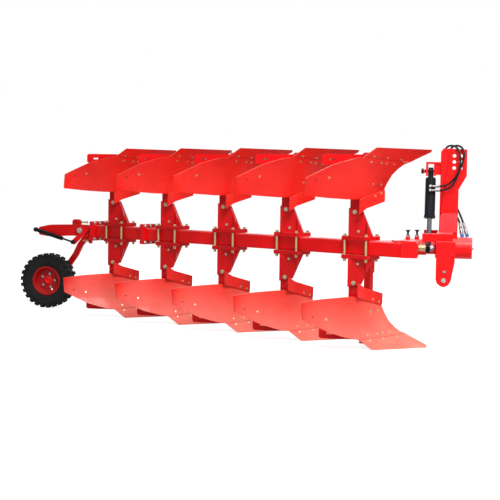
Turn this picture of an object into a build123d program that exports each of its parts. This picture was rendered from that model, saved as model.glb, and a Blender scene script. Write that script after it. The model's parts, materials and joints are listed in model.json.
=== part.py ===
from build123d import *
from math import cos, sin, tan, radians, atan2, degrees, hypot, pi
import os

# A five-furrow mounted reversible mouldboard plough, in millimetres.  +X is forward, +Y is left, +Z is up.
# It is drawn with X = 0 at the first clamp, Y = 0 on the turnover axis and Z = 0 on the ground,
# then every piece is moved so that the origin is under the middle of the whole plough.

# ---- driving dimensions ----
FURROWS = 5
SPACING = 750              # from body to body, along the beam
BEAM_ANGLE = 28            # between the beam and the direction of travel
AXIS_HEIGHT = 875          # turnover axis above the ground
FIRST_CLAMP_OFFSET = 280   # first clamp's centre to the right of the turnover axis
BEAM = 130                 # square beam
BEAM_WALL = 10
BEAM_ROUND = 14
BEAM_FRONT = 450           # beam's front end, ahead of the first clamp
BEAM_JOINT = 2590          # flanged joint, behind the first clamp
BEAM_REAR = 3335           # rear flange, behind the first clamp
SLIVER = 0.3               # gap between parts that sit on each other with curved or moving faces

# ---- places along the beam ----
UNIT_X, UNIT_Y = cos(radians(BEAM_ANGLE)), -sin(radians(BEAM_ANGLE))


def beam_point(along, z=AXIS_HEIGHT):
    """A point on the beam's centre line; along is forward of the first clamp."""
    return (along * UNIT_X, along * UNIT_Y - FIRST_CLAMP_OFFSET, z)


def beam_place(along, z=AXIS_HEIGHT):
    """A location on the beam, with x along it."""
    return Pos(*beam_point(along, z)) * Rot(0, 0, -BEAM_ANGLE)


def clamp_place(furrow):
    """The clamp's centre on the ground plane, with x along the direction of travel."""
    return Pos(*beam_point(-furrow * SPACING, 0))


AXIS_PLANE = Plane(origin=(0, 0, AXIS_HEIGHT), z_dir=(0, 0, 1))


def upper(shape):
    """The same piece on the other side of the turnover axis."""
    return shape.mirror(AXIS_PLANE)


# ---- shapes ----
def block(x0, x1, y0, y1, z0, z1):
    return Pos((x0 + x1) / 2, (y0 + y1) / 2, (z0 + z1) / 2) * Box(x1 - x0, y1 - y0, z1 - z0)


def plate(outline, y0, y1, holes=()):
    """A plate that stands along x: outline and holes in x and z; a hole is (x, z, radius)."""
    face = make_face(Polyline([(x, y0, z) for x, z in outline], close=True))
    body = extrude(face, amount=y1 - y0, dir=(0, 1, 0))
    for x, z, r in holes:
        body -= bar_y(x, z, y0 - 1, y1 + 1, r)
    return body


def bar_x(y, z, x0, x1, r):
    return Pos((x0 + x1) / 2, y, z) * Rot(0, 90, 0) * Cylinder(r, x1 - x0)


def bar_y(x, z, y0, y1, r):
    return Pos(x, (y0 + y1) / 2, z) * Rot(90, 0, 0) * Cylinder(r, y1 - y0)


def bar_z(x, y, z0, z1, r):
    return Pos(x, y, (z0 + z1) / 2) * Cylinder(r, z1 - z0)


def bar_between(a, b, r):
    """A round bar from point a to point b."""
    line = Line(a, b)
    return extrude(Plane(origin=a, z_dir=line % 0) * Circle(r), amount=line.length)


def strip(points, width, y0, y1):
    """A flat bar of constant width that follows points in x and z."""
    face = trace(Polyline([(x, z) for x, z in points]), line_width=width)
    return Pos(0, y0, 0) * Rot(90, 0, 0) * extrude(face, amount=-(y1 - y0))


def square_tube(length, size, wall, rounding):
    """A square tube along x, centred."""
    outer = Plane.YZ * RectangleRounded(size, size, rounding)
    inner = Plane.YZ * RectangleRounded(size - 2 * wall, size - 2 * wall, max(rounding - wall, 1))
    return extrude(outer - inner, amount=length / 2, both=True)


# ---- mouldboard surface ----
# The share and board lie on one curved face.  It is described in upright sections across it:
# p runs along the board at BOARD_TURN from the direction of travel, w is how far the face stands
# out towards the turned soil, and z is the height.
BOARD_TURN = 37
BOARD_THICK = 12            # across the face, level
SECTION_HEIGHTS = (0, 200, 450)
# p, then w at each of the section heights
BOARD_SECTIONS = (
    (-660, (216, 131, 110)),
    (-300, (263, 160, 101)),
    (-40, (291, 174, 104)),
    (250, (335, 159, 13)),
    (500, (384, 159, -14)),
)
ALONG = Vector(cos(radians(BOARD_TURN)), sin(radians(BOARD_TURN)), 0)
OUT = Vector(sin(radians(BOARD_TURN)), -cos(radians(BOARD_TURN)), 0)


def section_face(p, widths, back, thick):
    front = [(w - back, z) for w, z in zip(widths, SECTION_HEIGHTS)]
    rear = [(w - thick, z) for w, z in front]
    outline = [ThreePointArc(*front), Line(front[2], rear[2]), ThreePointArc(*rear[::-1]), Line(rear[0], front[0])]
    where = Plane(origin=ALONG * p, x_dir=OUT, z_dir=-ALONG)
    return where * make_face(outline)


def curved_sheet(thick, back=0):
    """The curved face, thick millimetres deep, starting back millimetres behind the soil side."""
    return loft([section_face(p, widths, back, thick) for p, widths in BOARD_SECTIONS])


def board_outline(points, reach=700):
    """A prism across the board, from an outline in p and z."""
    face = make_face(Polyline([ALONG * p + OUT * -reach + Vector(0, 0, z) for p, z in points], close=True))
    return extrude(face, amount=2 * reach, dir=OUT)


def on_board(p, w, z):
    """A point in the clamp's frame from board coordinates."""
    return ALONG * p + OUT * w + Vector(0, 0, z)


NOTCH = (-132, 84)          # where board and share meet at the wing
SEAM_TOP = (348, 119)       # where they meet at the shin
SHARE_WING = (-40, 0)
SHARE_TIP = (478, 8)
SHARE_NOSE = (486, 30)
SEAM_GAP = 2
MOULDBOARD_OUTLINE = (
    (NOTCH[0], NOTCH[1] + SEAM_GAP), (-207, 96), (-289, 118), (-406, 156), (-636, 272), (-643, 416),
    (-420, 438), (-220, 450), (-110, 450), (-10, 428), (184, 372), (196, 310), (222, 230), (262, 175), (302, 138),
    (SEAM_TOP[0], SEAM_TOP[1] + SEAM_GAP),
)
SHARE_OUTLINE = (NOTCH, SHARE_WING, SHARE_TIP, SHARE_NOSE, SEAM_TOP)
FROG_OUTLINE = ((-95, 95), (-60, 40), (330, 62), (240, 150), (165, 330), (20, 350), (-30, 250))

mouldboard = curved_sheet(BOARD_THICK) & board_outline(MOULDBOARD_OUTLINE)
share = curved_sheet(BOARD_THICK) & board_outline(SHARE_OUTLINE)
FROG_THICK = 12
FROG_BACK = BOARD_THICK + 2 * SLIVER
IN_FRONT_OF_FROG = curved_sheet(400, FROG_BACK - 400)

# ---- leg: side plates on the clamp, shank between them, frog behind the board ----
CLAMP_PLATE = 35
CLAMP_LONG, CLAMP_WIDE = 262, 222
CLAMP_BOLTS = (222, 178)
CLAMP_BOLT_R = 11
PLATE_THICK = 16
RIB_WIDE = 27
SHANK_THICK = 32
SHANK_Y = -53               # shank's middle, to the right of the clamp's centre
PLATE_TOP = AXIS_HEIGHT - BEAM / 2 - CLAMP_PLATE
SIDE_OUTLINE = ((-104, PLATE_TOP), (-104, PLATE_TOP - 248), (19, PLATE_TOP - 223), (112, PLATE_TOP))
BIG_BOLT = (-51, PLATE_TOP - 213, 15)
SMALL_BOLT = (-16, PLATE_TOP - 42, 10)


def shank_side(gap=0):
    return SHANK_Y - SHANK_THICK / 2 - gap, SHANK_Y + SHANK_THICK / 2 + gap


def make_carrier():
    """Clamp plates above and below the beam, each with a pair of side plates and a rib."""
    cap = block(-CLAMP_LONG / 2, CLAMP_LONG / 2, -CLAMP_WIDE / 2, CLAMP_WIDE / 2,
                AXIS_HEIGHT - BEAM / 2 - CLAMP_PLATE, AXIS_HEIGHT - BEAM / 2)
    for sx in (-1, 1):
        for sy in (-1, 1):
            cap -= bar_z(sx * CLAMP_BOLTS[0] / 2, sy * CLAMP_BOLTS[1] / 2, 0, AXIS_HEIGHT, CLAMP_BOLT_R + SLIVER)
    cap = Rot(0, 0, -BEAM_ANGLE) * cap
    right, left = shank_side(SLIVER)
    holes = (BIG_BOLT, SMALL_BOLT)
    sides = plate(SIDE_OUTLINE, right - PLATE_THICK, right, holes) + plate(SIDE_OUTLINE, left, left + PLATE_THICK, holes)
    rib = plate(((60, PLATE_TOP), (60, PLATE_TOP - 135), (76, PLATE_TOP - 75), (76, PLATE_TOP)),
                right - PLATE_THICK - RIB_WIDE, right - PLATE_THICK)
    return cap + sides + rib


def make_shank():
    """The shank, the frog plate behind the board and the stay to the board's tail."""
    right, left = shank_side()
    profile = ((-94, PLATE_TOP - 6), (-1, PLATE_TOP - 6), (-1, 440), (98, 330), (150, 230), (245, 110), (330, 40),
               (20, 40), (-60, 120), (-94, 420))
    stem = plate(profile, right, left)
    for x, z, r in (BIG_BOLT, SMALL_BOLT):
        stem -= bar_y(x, z, right - 1, left + 1, r)
    frog = curved_sheet(FROG_THICK, FROG_BACK) & board_outline(FROG_OUTLINE)
    tail = on_board(-413, 140, 262)
    stay = bar_between((-60, SHANK_Y, 200), tail, 13)
    return stem + frog + stay - IN_FRONT_OF_FROG


LANDSIDE_THICK = 14
LANDSIDE_LOW, LANDSIDE_HIGH = 56, 152
LANDSIDE_REAR, LANDSIDE_FRONT = -352, 420
HEEL_LONG, HEEL_THICK, HEEL_SLOT = 150, 12, (56, 16)
BEFORE_LANDSIDE = curved_sheet(400, FROG_BACK + FROG_THICK + SLIVER - 400)


def make_landside():
    """The bar that runs along the furrow wall, with a slotted heel piece at its rear end."""
    y0 = shank_side(SLIVER)[1]
    y1 = y0 + LANDSIDE_THICK
    rounding = 24
    bar = block(LANDSIDE_REAR, LANDSIDE_FRONT, y0, y1, LANDSIDE_LOW, LANDSIDE_HIGH)
    heel = block(LANDSIDE_REAR, LANDSIDE_REAR + HEEL_LONG, y0 - HEEL_THICK, y0 + 1, LANDSIDE_LOW, LANDSIDE_HIGH)
    body = bar + heel
    body = fillet(body.edges().filter_by(Axis.Y).group_by(Axis.X)[0], rounding)
    slot = Pos(LANDSIDE_REAR + HEEL_LONG * 0.62, y0, (LANDSIDE_LOW + LANDSIDE_HIGH) / 2) * Box(HEEL_SLOT[0], 80, HEEL_SLOT[1])
    return body - slot - BEFORE_LANDSIDE


# ---- trashboard ----
TRASH_THICK = 8
TRASH_PLAN = ((188, 85), (-28, 122), (-123, 160))
TRASH_OUTLINE = ((185, 364), (-28, 421), (-124, 452), (-122, 577), (-20, 526), (193, 466))


def make_trashboard():
    front = [on_board(p, w, 0) for p, w in TRASH_PLAN]
    rear = [v - OUT * TRASH_THICK for v in front]
    face = make_face(Polyline(front + rear[::-1], close=True))
    sheet = Pos(0, 0, 300) * extrude(face, amount=320, dir=(0, 0, 1))
    return sheet & board_outline(TRASH_OUTLINE)


EAR_LOW, EAR_HIGH = 438, 474     # above the mouldboard's top edge
EAR_THICK = 12


def make_trash_ear():
    """The ear behind the trashboard and the arm that joins it to the shank."""
    (p0, w0), (p1, w1) = TRASH_PLAN[:2]

    def behind(p, back):
        """A point behind the trashboard's straight stretch."""
        return on_board(p, w0 + (w1 - w0) * (p - p0) / (p1 - p0) - TRASH_THICK - SLIVER - back, 0)

    ear = make_face(Polyline([behind(150, 0), behind(20, 0), behind(20, EAR_THICK), behind(150, EAR_THICK)], close=True))
    right, left = shank_side(-4)
    root = [Vector(x, y, 0) for x, y in ((-8, left), (-40, left), (-40, right), (-8, right))]
    arm = make_face(Polyline([behind(5, 3), behind(50, 3)] + root, close=True))
    return Pos(0, 0, EAR_LOW) * (extrude(ear, amount=EAR_HIGH - EAR_LOW, dir=(0, 0, 1)) + extrude(arm, amount=EAR_HIGH - EAR_LOW, dir=(0, 0, 1)))


# ---- one furrow's pieces, in the clamp's frame ----
carrier_low = make_carrier()
shank_low = make_shank() + make_trash_ear()
landside_low = make_landside()
trashboard_low = make_trashboard()


def pair(shape):
    return [shape, upper(shape)]


parts = {}
for furrow in range(FURROWS):
    here = clamp_place(furrow)
    name = furrow + 1
    parts[f"leg_carrier_{name}"] = [here * s for s in pair(carrier_low)]
    parts[f"shanks_{name}"] = [here * s for s in pair(shank_low)]
    parts[f"mouldboards_{name}"] = [here * s for s in pair(mouldboard)]
for side, turn in (("right", lambda s: s), ("left", upper)):
    for label, piece in (("shares", share), ("landsides", landside_low), ("trashboards", trashboard_low)):
        parts[f"{label}_{side}"] = [clamp_place(i) * turn(piece) for i in range(FURROWS)]
bolt = bar_z(0, 0, AXIS_HEIGHT - BEAM / 2 - CLAMP_PLATE - 26, AXIS_HEIGHT + BEAM / 2 + CLAMP_PLATE + 20, CLAMP_BOLT_R)
parts["clamp_bolts"] = [
    beam_place(-i * SPACING, 0) * Pos(sx * CLAMP_BOLTS[0] / 2, sy * CLAMP_BOLTS[1] / 2, 0) * bolt
    for i in range(FURROWS) for sx in (-1, 1) for sy in (-1, 1)]

# ---- beam ----
FLANGE = (26, 190, 205)     # thickness, width, height of each flange plate


def beam_tube(from_along, to_along):
    return beam_place((from_along + to_along) / 2) * square_tube(to_along - from_along, BEAM, BEAM_WALL, BEAM_ROUND)


def flange(along):
    return beam_place(along + FLANGE[0] / 2) * Box(*FLANGE)


main_beam = beam_tube(-BEAM_JOINT + FLANGE[0], BEAM_FRONT) + flange(-BEAM_JOINT)
rear_beam = beam_tube(-BEAM_REAR + FLANGE[0], -BEAM_JOINT - FLANGE[0]) + flange(-BEAM_JOINT - FLANGE[0]) + flange(-BEAM_REAR)
parts["main_beam"] = [main_beam]
parts["rear_beam"] = [rear_beam]

# ---- turnover frame: arm from the beam to the turnover shaft ----
ARM_REAR, ARM_FRONT = 363, 508
ARM_RIGHT = -557
ARM_LEFT = -40
COVER = 14                  # cover plate on top of the arm, with an adjusting slot
GUSSET = 14
SHAFT_R = 50
HUB_R = 72
HUB_REAR, HUB_FRONT = 450, 567
HEAD_REAR, HEAD_FRONT = 649, 972    # bearing housing
COLLAR_R = 62               # shaft between the arm's hub and the housing
HOUSING_R = 97
EYE_OFFSET = 170            # cylinder lug's distance from the turnover axis
EYE_X = 592                 # plane of the turnover cylinder
BEAM_TOP = AXIS_HEIGHT + BEAM / 2
BEAM_BOTTOM = AXIS_HEIGHT - BEAM / 2


def flat_plate(outline, z0, z1):
    """A level plate with its outline in x and y."""
    return extrude(make_face(Polyline([(x, y, z0) for x, y in outline], close=True)), amount=z1 - z0, dir=(0, 0, 1))


def make_arm():
    arm = block(ARM_REAR, ARM_FRONT, ARM_RIGHT, ARM_LEFT, BEAM_BOTTOM, BEAM_TOP)
    arm = fillet(arm.edges().filter_by(Axis.Y), 12)
    socket = beam_place((BEAM_FRONT - 300) / 2 + SLIVER / 2) * Box(BEAM_FRONT + 300 + SLIVER, BEAM, BEAM + 40)
    arm -= socket
    reach = beam_point(150)
    gusset_line = ((reach[0] + 25, reach[1] + 60), (ARM_REAR + 8, ARM_RIGHT + 158), (ARM_REAR + 8, ARM_RIGHT + 440))
    cover_line = ((ARM_REAR - 54, ARM_RIGHT + 38), (ARM_FRONT - 10, ARM_RIGHT + 10), (ARM_FRONT - 10, -120),
                  (ARM_REAR + 10, -120), (ARM_REAR + 10, ARM_RIGHT + 210), (ARM_REAR - 84, ARM_RIGHT + 160))
    slot = Pos(ARM_REAR + 11, ARM_RIGHT + 70, BEAM_TOP) * Rot(0, 0, -BEAM_ANGLE) * Box(64, 26, 60)
    gusset = flat_plate(gusset_line, BEAM_TOP - GUSSET, BEAM_TOP) - socket
    arm += pair(gusset)
    arm += flat_plate(cover_line, BEAM_TOP, BEAM_TOP + COVER) - slot
    arm += bar_x(0, AXIS_HEIGHT, HUB_REAR, HUB_FRONT, HUB_R)
    arm += bar_x(-EYE_OFFSET, AXIS_HEIGHT, ARM_FRONT - 5, HUB_FRONT, 29)
    return arm


parts["turnover_arm"] = [make_arm()]
parts["turnover_shaft"] = [bar_x(0, AXIS_HEIGHT, HUB_FRONT, HEAD_FRONT - 14, SHAFT_R)
                           + bar_x(0, AXIS_HEIGHT, HUB_FRONT, HEAD_REAR - 1, COLLAR_R)]
stop_screw_spots = ((ARM_REAR + 48, -255), (ARM_FRONT - 20, -190))


def make_stop_screw():
    """A boss with a locked screw under a wide head."""
    z = BEAM_TOP + COVER
    return bar_z(0, 0, z, z + 22, 17) + bar_z(0, 0, z + 22, z + 66, 9) + Pos(0, 0, z + 66 + 9) * Cone(9, 24, 18)


parts["stop_screws"] = [Pos(x, y, 0) * make_stop_screw() for x, y in stop_screw_spots]

# ---- headstock: bearing housing, tower and lower link brackets ----
LINK_X, LINK_Z = 729, AXIS_HEIGHT - 255
LINK_HOLE = (737, AXIS_HEIGHT - 183)    # spare hole above the lower link pin
LINK_HOLE_R = 16
LINK_PIN_R = 18.3           # category 3 lower link pin
LINK_SPREAD = 825           # between the middles of the two link clevises
LINK_GAP = 65
LINK_PLATE = 25
BRACKET_REAR = 662          # rear edge of the clevis plates
BRACKET_LINE = ((0, 77), (0, -249), (12, -283), (44, -307), (74, -313), (107, -297), (128, -263), (157, -105), (162, 77))
RAIL_REAR, RAIL_WIDE = 538, 70
CROSS_REAR, CROSS_FRONT = 662, 800
CROSS_LOW, CROSS_HIGH = AXIS_HEIGHT + 70, AXIS_HEIGHT + 140
TOP_PIN_R = 16              # category 3 top link holes
TOP_HOLES_X = (796, 853)
TOP_HOLES_UP = (715, 769, 823)          # above the turnover axis
TOWER_GAP = 56
TOWER_PLATE = 20
TOWER_REAR, TOWER_FRONT = 677, 840      # at its foot
TOWER_OUTLINE = ((TOWER_REAR, 75), (TOWER_REAR, 857), (700, 887), (906, 879), (908, 645), (TOWER_FRONT, 522), (TOWER_FRONT, 75))
FOOT_FILL = 305             # top of the filled foot
DOUBLER_THICK = 10
DOUBLER_OUTLINE = ((684, 140.3), (684, 300), (694, 310), (823, 310), (833, 300), (833, 140.3))
TOWER_RIB = (18, 28)        # width and depth of the leaning ribs
RIB_LINE = ((694, 314), (770, 866))
CYL_PIN_Z = AXIS_HEIGHT + 683
CYL_PIN_R = 16


def make_housing():
    body = bar_x(0, AXIS_HEIGHT, HEAD_REAR, HEAD_FRONT, HOUSING_R)
    body -= bar_x(0, AXIS_HEIGHT, HEAD_REAR - 1, HEAD_FRONT - 12, SHAFT_R + SLIVER)
    return body + bar_x(0, AXIS_HEIGHT, HEAD_FRONT, HEAD_FRONT + 16, 11)


def on_axis(outline):
    """Outline points of x and height above the turnover axis, as x and z."""
    return [(x, AXIS_HEIGHT + up) for x, up in outline]


def make_link_bracket():
    """The right-hand clevis for one lower link, with the rail that carries it."""
    outline = on_axis([(BRACKET_REAR + x, up) for x, up in BRACKET_LINE])
    front = BRACKET_REAR + BRACKET_LINE[-1][0]
    right, left = -(LINK_SPREAD + LINK_GAP) / 2, -(LINK_SPREAD - LINK_GAP) / 2
    bores = ((LINK_X, LINK_Z, LINK_PIN_R + SLIVER), (*LINK_HOLE, LINK_HOLE_R))
    bracket = plate(outline, right - LINK_PLATE, right, bores) + plate(outline, left, left + LINK_PLATE, bores)
    bracket += block(BRACKET_REAR, front, right - 1, left + 1, AXIS_HEIGHT + 25, AXIS_HEIGHT + 77)
    bracket += block(RAIL_REAR, CROSS_FRONT, left, left + RAIL_WIDE, CROSS_LOW, CROSS_HIGH)
    return bracket


def make_cross():
    """The cross member on the housing, between the two link brackets."""
    half = (LINK_SPREAD - LINK_GAP) / 2 - RAIL_WIDE
    body = block(CROSS_REAR, CROSS_FRONT, -half, half, CROSS_LOW, CROSS_HIGH)
    return body - bar_x(0, AXIS_HEIGHT, CROSS_REAR - 1, CROSS_FRONT + 1, HOUSING_R)


def make_tower():
    """Two plates with top link holes, a rear web and a filled foot, doubled and ribbed outside."""
    half = TOWER_GAP / 2
    outside = half + TOWER_PLATE
    holes = [(x, AXIS_HEIGHT + up, TOP_PIN_R) for x in TOP_HOLES_X for up in TOP_HOLES_UP]
    side = plate(on_axis(TOWER_OUTLINE), half, outside, holes)
    side += plate(on_axis(DOUBLER_OUTLINE), outside, outside + DOUBLER_THICK)
    side += strip(on_axis(RIB_LINE), TOWER_RIB[0], outside - 1, outside + TOWER_RIB[1])
    tower = side + side.mirror(Plane.XZ)
    tower += block(TOWER_REAR, TOWER_REAR + 20, -half - 1, half + 1, CROSS_HIGH, AXIS_HEIGHT + 825)
    tower += block(TOWER_REAR, TOWER_FRONT, -half - 1, half + 1, CROSS_HIGH, AXIS_HEIGHT + FOOT_FILL)
    tower -= block(CROSS_REAR - 1, CROSS_FRONT + SLIVER, -outside - 1, outside + 1, AXIS_HEIGHT, CROSS_HIGH)
    return tower - bar_x(0, AXIS_HEIGHT, CROSS_REAR, TOWER_FRONT + 1, HOUSING_R)


EAR_PLATE = 18
EAR_REAR, EAR_FRONT = EYE_X - 43.5, EYE_X + 26      # rear face of each ear plate


def make_cylinder_bracket():
    """Two ears behind the tower with the turnover cylinder's pin between them."""
    low, high = CYL_PIN_Z - 43, CYL_PIN_Z + 82
    bracket = block(EAR_REAR, EAR_REAR + EAR_PLATE, -40, 40, low, high) + block(EAR_FRONT, EAR_FRONT + EAR_PLATE, -40, 40, low, high)
    bracket += block(EAR_REAR, TOWER_REAR, -40, 40, high - EAR_PLATE, high)
    bracket += block(EAR_FRONT, TOWER_REAR, -30, 30, low + 10, high)
    return bracket + bar_x(0, CYL_PIN_Z, EAR_REAR - 22, EAR_FRONT + EAR_PLATE, CYL_PIN_R)


def mirror_left(shape):
    return shape.mirror(Plane.XZ)


parts["bearing_housing"] = [make_housing()]
parts["cross_member"] = [make_cross()]
parts["tower"] = [make_tower()]
parts["cylinder_bracket"] = [make_cylinder_bracket()]
link_bracket = make_link_bracket()
link_pin = bar_y(LINK_X, LINK_Z, -LINK_SPREAD / 2 - LINK_GAP / 2 - LINK_PLATE - 6, -LINK_SPREAD / 2 + LINK_GAP / 2 + LINK_PLATE + 20,
                 LINK_PIN_R)
parts["link_bracket_right"] = [link_bracket]
parts["link_bracket_left"] = [mirror_left(link_bracket)]
parts["link_pins"] = [link_pin, mirror_left(link_pin)]

# ---- turnover cylinder, leaning from the tower to its lug on the arm ----
BARREL_R = 46
ROD_R = 21
CYL_DROP = CYL_PIN_Z - AXIS_HEIGHT
CYL_LENGTH = hypot(CYL_DROP, EYE_OFFSET)
CYL_LEAN = degrees(atan2(EYE_OFFSET, CYL_DROP))
CYL_STROKE = CYL_LENGTH - (CYL_DROP - EYE_OFFSET)
BARREL_TOP, BARREL_END = 62, 428     # along the cylinder from its upper pin


def lean(shape):
    """Place a piece drawn hanging straight down from the origin onto the upper cylinder pin."""
    return Pos(EYE_X, 0, CYL_PIN_Z) * Rot(-CYL_LEAN, 0, 0) * shape


PORTS = (-153, -190)        # along the cylinder, below its upper pin
PORT_OUT = 60               # from the cylinder's centre line to the hose fittings
FITTING_LONG = 62
HOSE_R = 9


def make_turn_barrel():
    """The barrel with its upper eye, end cap, gland ring and two port bosses."""
    barrel = bar_z(0, 0, -BARREL_END, -BARREL_TOP, BARREL_R) + bar_z(0, 0, -BARREL_END, -BARREL_END + 22, BARREL_R + 4)
    barrel = chamfer(barrel.edges().group_by(Axis.Z)[-1], 8)
    barrel += bar_z(0, 0, -BARREL_TOP - 2, -20, 24) + bar_x(0, 0, -22, 22, 34)
    for z in PORTS:
        barrel += bar_y(0, z, -PORT_OUT + 13, -BARREL_R + 12, 14)
    barrel -= bar_x(0, 0, -30, 30, CYL_PIN_R + SLIVER)
    barrel -= bar_z(0, 0, -BARREL_END - 1, -BARREL_TOP - 24, ROD_R + SLIVER)
    return barrel


def make_fitting(z):
    """An elbow on a port: a banjo eye with a nut, and the hose's ferrule pointing forward."""
    eye = bar_y(0, z, -PORT_OUT - 13, -PORT_OUT + 13 - SLIVER, 12)
    return eye + bar_x(-PORT_OUT, z, 0, FITTING_LONG, HOSE_R) + bar_x(-PORT_OUT, z, 22, FITTING_LONG, HOSE_R + 2.5)


def make_turn_rod():
    length = CYL_LENGTH
    inside = BARREL_END - BARREL_TOP - 24 - CYL_STROKE - 8
    rod = bar_z(0, 0, -length + 30, -BARREL_END + inside, ROD_R)
    rod += bar_x(0, -length, HUB_FRONT + 1 - EYE_X, 12, 42)
    return rod + bar_x(0, -length, 12, 40, 24)


parts["turn_cylinder_barrel"] = [lean(make_turn_barrel())]
parts["turn_cylinder_rod"] = [lean(make_turn_rod())]
parts["cylinder_fittings"] = [lean(make_fitting(z)) for z in PORTS]

# ---- depth wheel: bracket, pivoting arm, damper and wheel ----
TYRE_R, TYRE_W = 300, 165
TYRE_RIGHT = 1417           # tyre's right-hand side
CARCASS_R = 285
LUGS, LUG_ARC = 26, 7.4     # blocks on each shoulder, and the degrees that each covers
RIM_R = 152
WHEEL_X, WHEEL_Z = -3580, TYRE_R
PIVOT_X, PIVOT_Z = -3135, AXIS_HEIGHT
PIVOT_R = 28
AXLE_R = 20
BRACKET_Y = (1285, 1375)
STEM_Y = (1605, 1645)
LEVER_Y = (1253, 1277)
DAMPER_Y = 1225
DAMPER_PIN_X = PIVOT_X - 488
LEVER_END = (-70, -125)     # from the pivot
LEVER_TOP = (88, 30)
# from the pivot, in x and z
WHEEL_BRACKET_LINE = ((-492, -5), (-470, 26), (-363, 51), (-105, 59), (125, 58), (125, -62), (-105, -61), (-363, -74), (-470, -59))
TOP_STOP_LINE = ((-108, 50), (-108, 98), (-92, 116), (-30, 116), (-11, 100), (-11, 50))
LOW_STOP_LINE = ((66, -55), (66, -100), (82, -141), (111, -141), (111, -55))
STOP_BOLTS = ((-11, 62, 86), (8, 65.5, -112))    # from x to x, at this height
STEM_BENDS = ((-42, -77), (-120, -176), (-173, -286), (-254, -400))


def from_pivot(outline):
    return [(PIVOT_X + x, PIVOT_Z + z) for x, z in outline]


def make_wheel_bracket():
    """The end flange and the box that carries the wheel arm's pivot, with a stop above and below."""
    middle = sum(BRACKET_Y) / 2
    body = plate(from_pivot(WHEEL_BRACKET_LINE), *BRACKET_Y)
    root = beam_point(-BEAM_REAR - FLANGE[0] / 2)
    front = PIVOT_X + WHEEL_BRACKET_LINE[4][0]
    neck = [(front - 5, y) for y in BRACKET_Y] + [(root[0] + (y - root[1]) * tan(radians(BEAM_ANGLE)), y) for y in BRACKET_Y[::-1]]
    body += flat_plate(neck, AXIS_HEIGHT - 55, AXIS_HEIGHT + 55)
    body += plate(from_pivot(TOP_STOP_LINE), middle - 16, middle + 16) + plate(from_pivot(LOW_STOP_LINE), middle - 16, middle + 16)
    body += beam_place(-BEAM_REAR - FLANGE[0] / 2) * Box(*FLANGE)
    body -= bar_y(PIVOT_X, PIVOT_Z, BRACKET_Y[0] - 1, BRACKET_Y[1] + 1, PIVOT_R + SLIVER)
    return body + bar_y(DAMPER_PIN_X, PIVOT_Z, DAMPER_Y - 26, BRACKET_Y[0] + 1, 12)


def make_stop_bolt(x0, x1, up):
    """A long hexagon-headed bolt through a stop, along x."""
    head = Pos(PIVOT_X + x1 - 7, sum(BRACKET_Y) / 2, PIVOT_Z + up) * Rot(0, 90, 0) * extrude(RegularPolygon(14, 6), amount=7, both=True)
    return bar_x(sum(BRACKET_Y) / 2, PIVOT_Z + up, PIVOT_X + x0 + SLIVER, PIVOT_X + x1 - 10, 9) + head


def make_wheel_arm():
    """The pivot shaft with the damper's lever on one end and the bent arm to the axle on the other."""
    pivot, axle = (PIVOT_X, PIVOT_Z), (WHEEL_X, WHEEL_Z)
    end, top = from_pivot((LEVER_END, LEVER_TOP))
    shaft = bar_y(*pivot, LEVER_Y[0] - 14, STEM_Y[1] + 6, PIVOT_R)
    lever = strip((top, end), 52, *LEVER_Y) + bar_y(*pivot, *LEVER_Y, 46) + bar_y(*end, *LEVER_Y, 28) + bar_y(*top, *LEVER_Y, 26)
    stem = strip([pivot] + from_pivot(STEM_BENDS) + [axle], 62, *STEM_Y)
    stem += bar_y(*pivot, *STEM_Y, 48) + bar_y(*axle, *STEM_Y, 44)
    return shaft + lever + stem + bar_y(*axle, DISC_Y + 4, STEM_Y[1], AXLE_R)


def ring(points, arc=360, start=0):
    """Turn a profile of (radius, y) about the wheel's axle."""
    face = make_face(Polyline([(r, y, 0) for r, y in points], close=True))
    return Pos(WHEEL_X, 0, WHEEL_Z) * Rot(0, start, 0) * revolve(face, Axis.Y, revolution_arc=arc)


def make_tyre():
    """The carcass with a row of blocks on each shoulder, the two rows half a block apart."""
    y0, y1 = TYRE_RIGHT, TYRE_RIGHT + TYRE_W
    tyre = ring(((RIM_R, y0 + 22), (200, y0 + 5), (245, y0 + 2), (272, y0 + 12), (CARCASS_R, y0 + 30), (CARCASS_R, y1 - 30),
                 (272, y1 - 12), (245, y1 - 2), (200, y1 - 5), (RIM_R, y1 - 22)))
    reach = TYRE_W * 0.42
    lugs = []
    for side, edge, phase in ((1, y0, 0), (-1, y1, 0.5)):
        profile = [(r, edge + side * y) for r, y in ((262, 12), (266, 1), (292, 3), (TYRE_R, 12), (TYRE_R, reach), (262, reach))]
        lugs += [ring(profile, LUG_ARC, 360 / LUGS * (i + phase)) for i in range(LUGS)]
    return tyre + lugs


DISC_Y = TYRE_RIGHT + 78    # near face of the wheel's disc
DISC_THICK = 9
HUB_R = 44
NUT_CIRCLE, NUTS = 76, 5


def make_rim():
    """A dished wheel: rolled edge, well, disc with a valve hole and a round opening for the hub."""
    outer = RIM_R - SLIVER
    y0, y1 = TYRE_RIGHT + 9, TYRE_RIGHT + TYRE_W - 18
    body = ring(((outer - 9, y0), (outer + 7, y0), (outer + 7, y0 + 6), (outer, y0 + 10), (outer, y1), (outer - 8, y1),
                 (outer - 20, DISC_Y + DISC_THICK), (HUB_R + SLIVER, DISC_Y + DISC_THICK), (HUB_R + SLIVER, DISC_Y),
                 (outer - 34, DISC_Y), (outer - 18, y0 + 22)))
    return body - bar_y(WHEEL_X + 38, WHEEL_Z - 98, DISC_Y - 10, DISC_Y + 20, 10)


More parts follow.
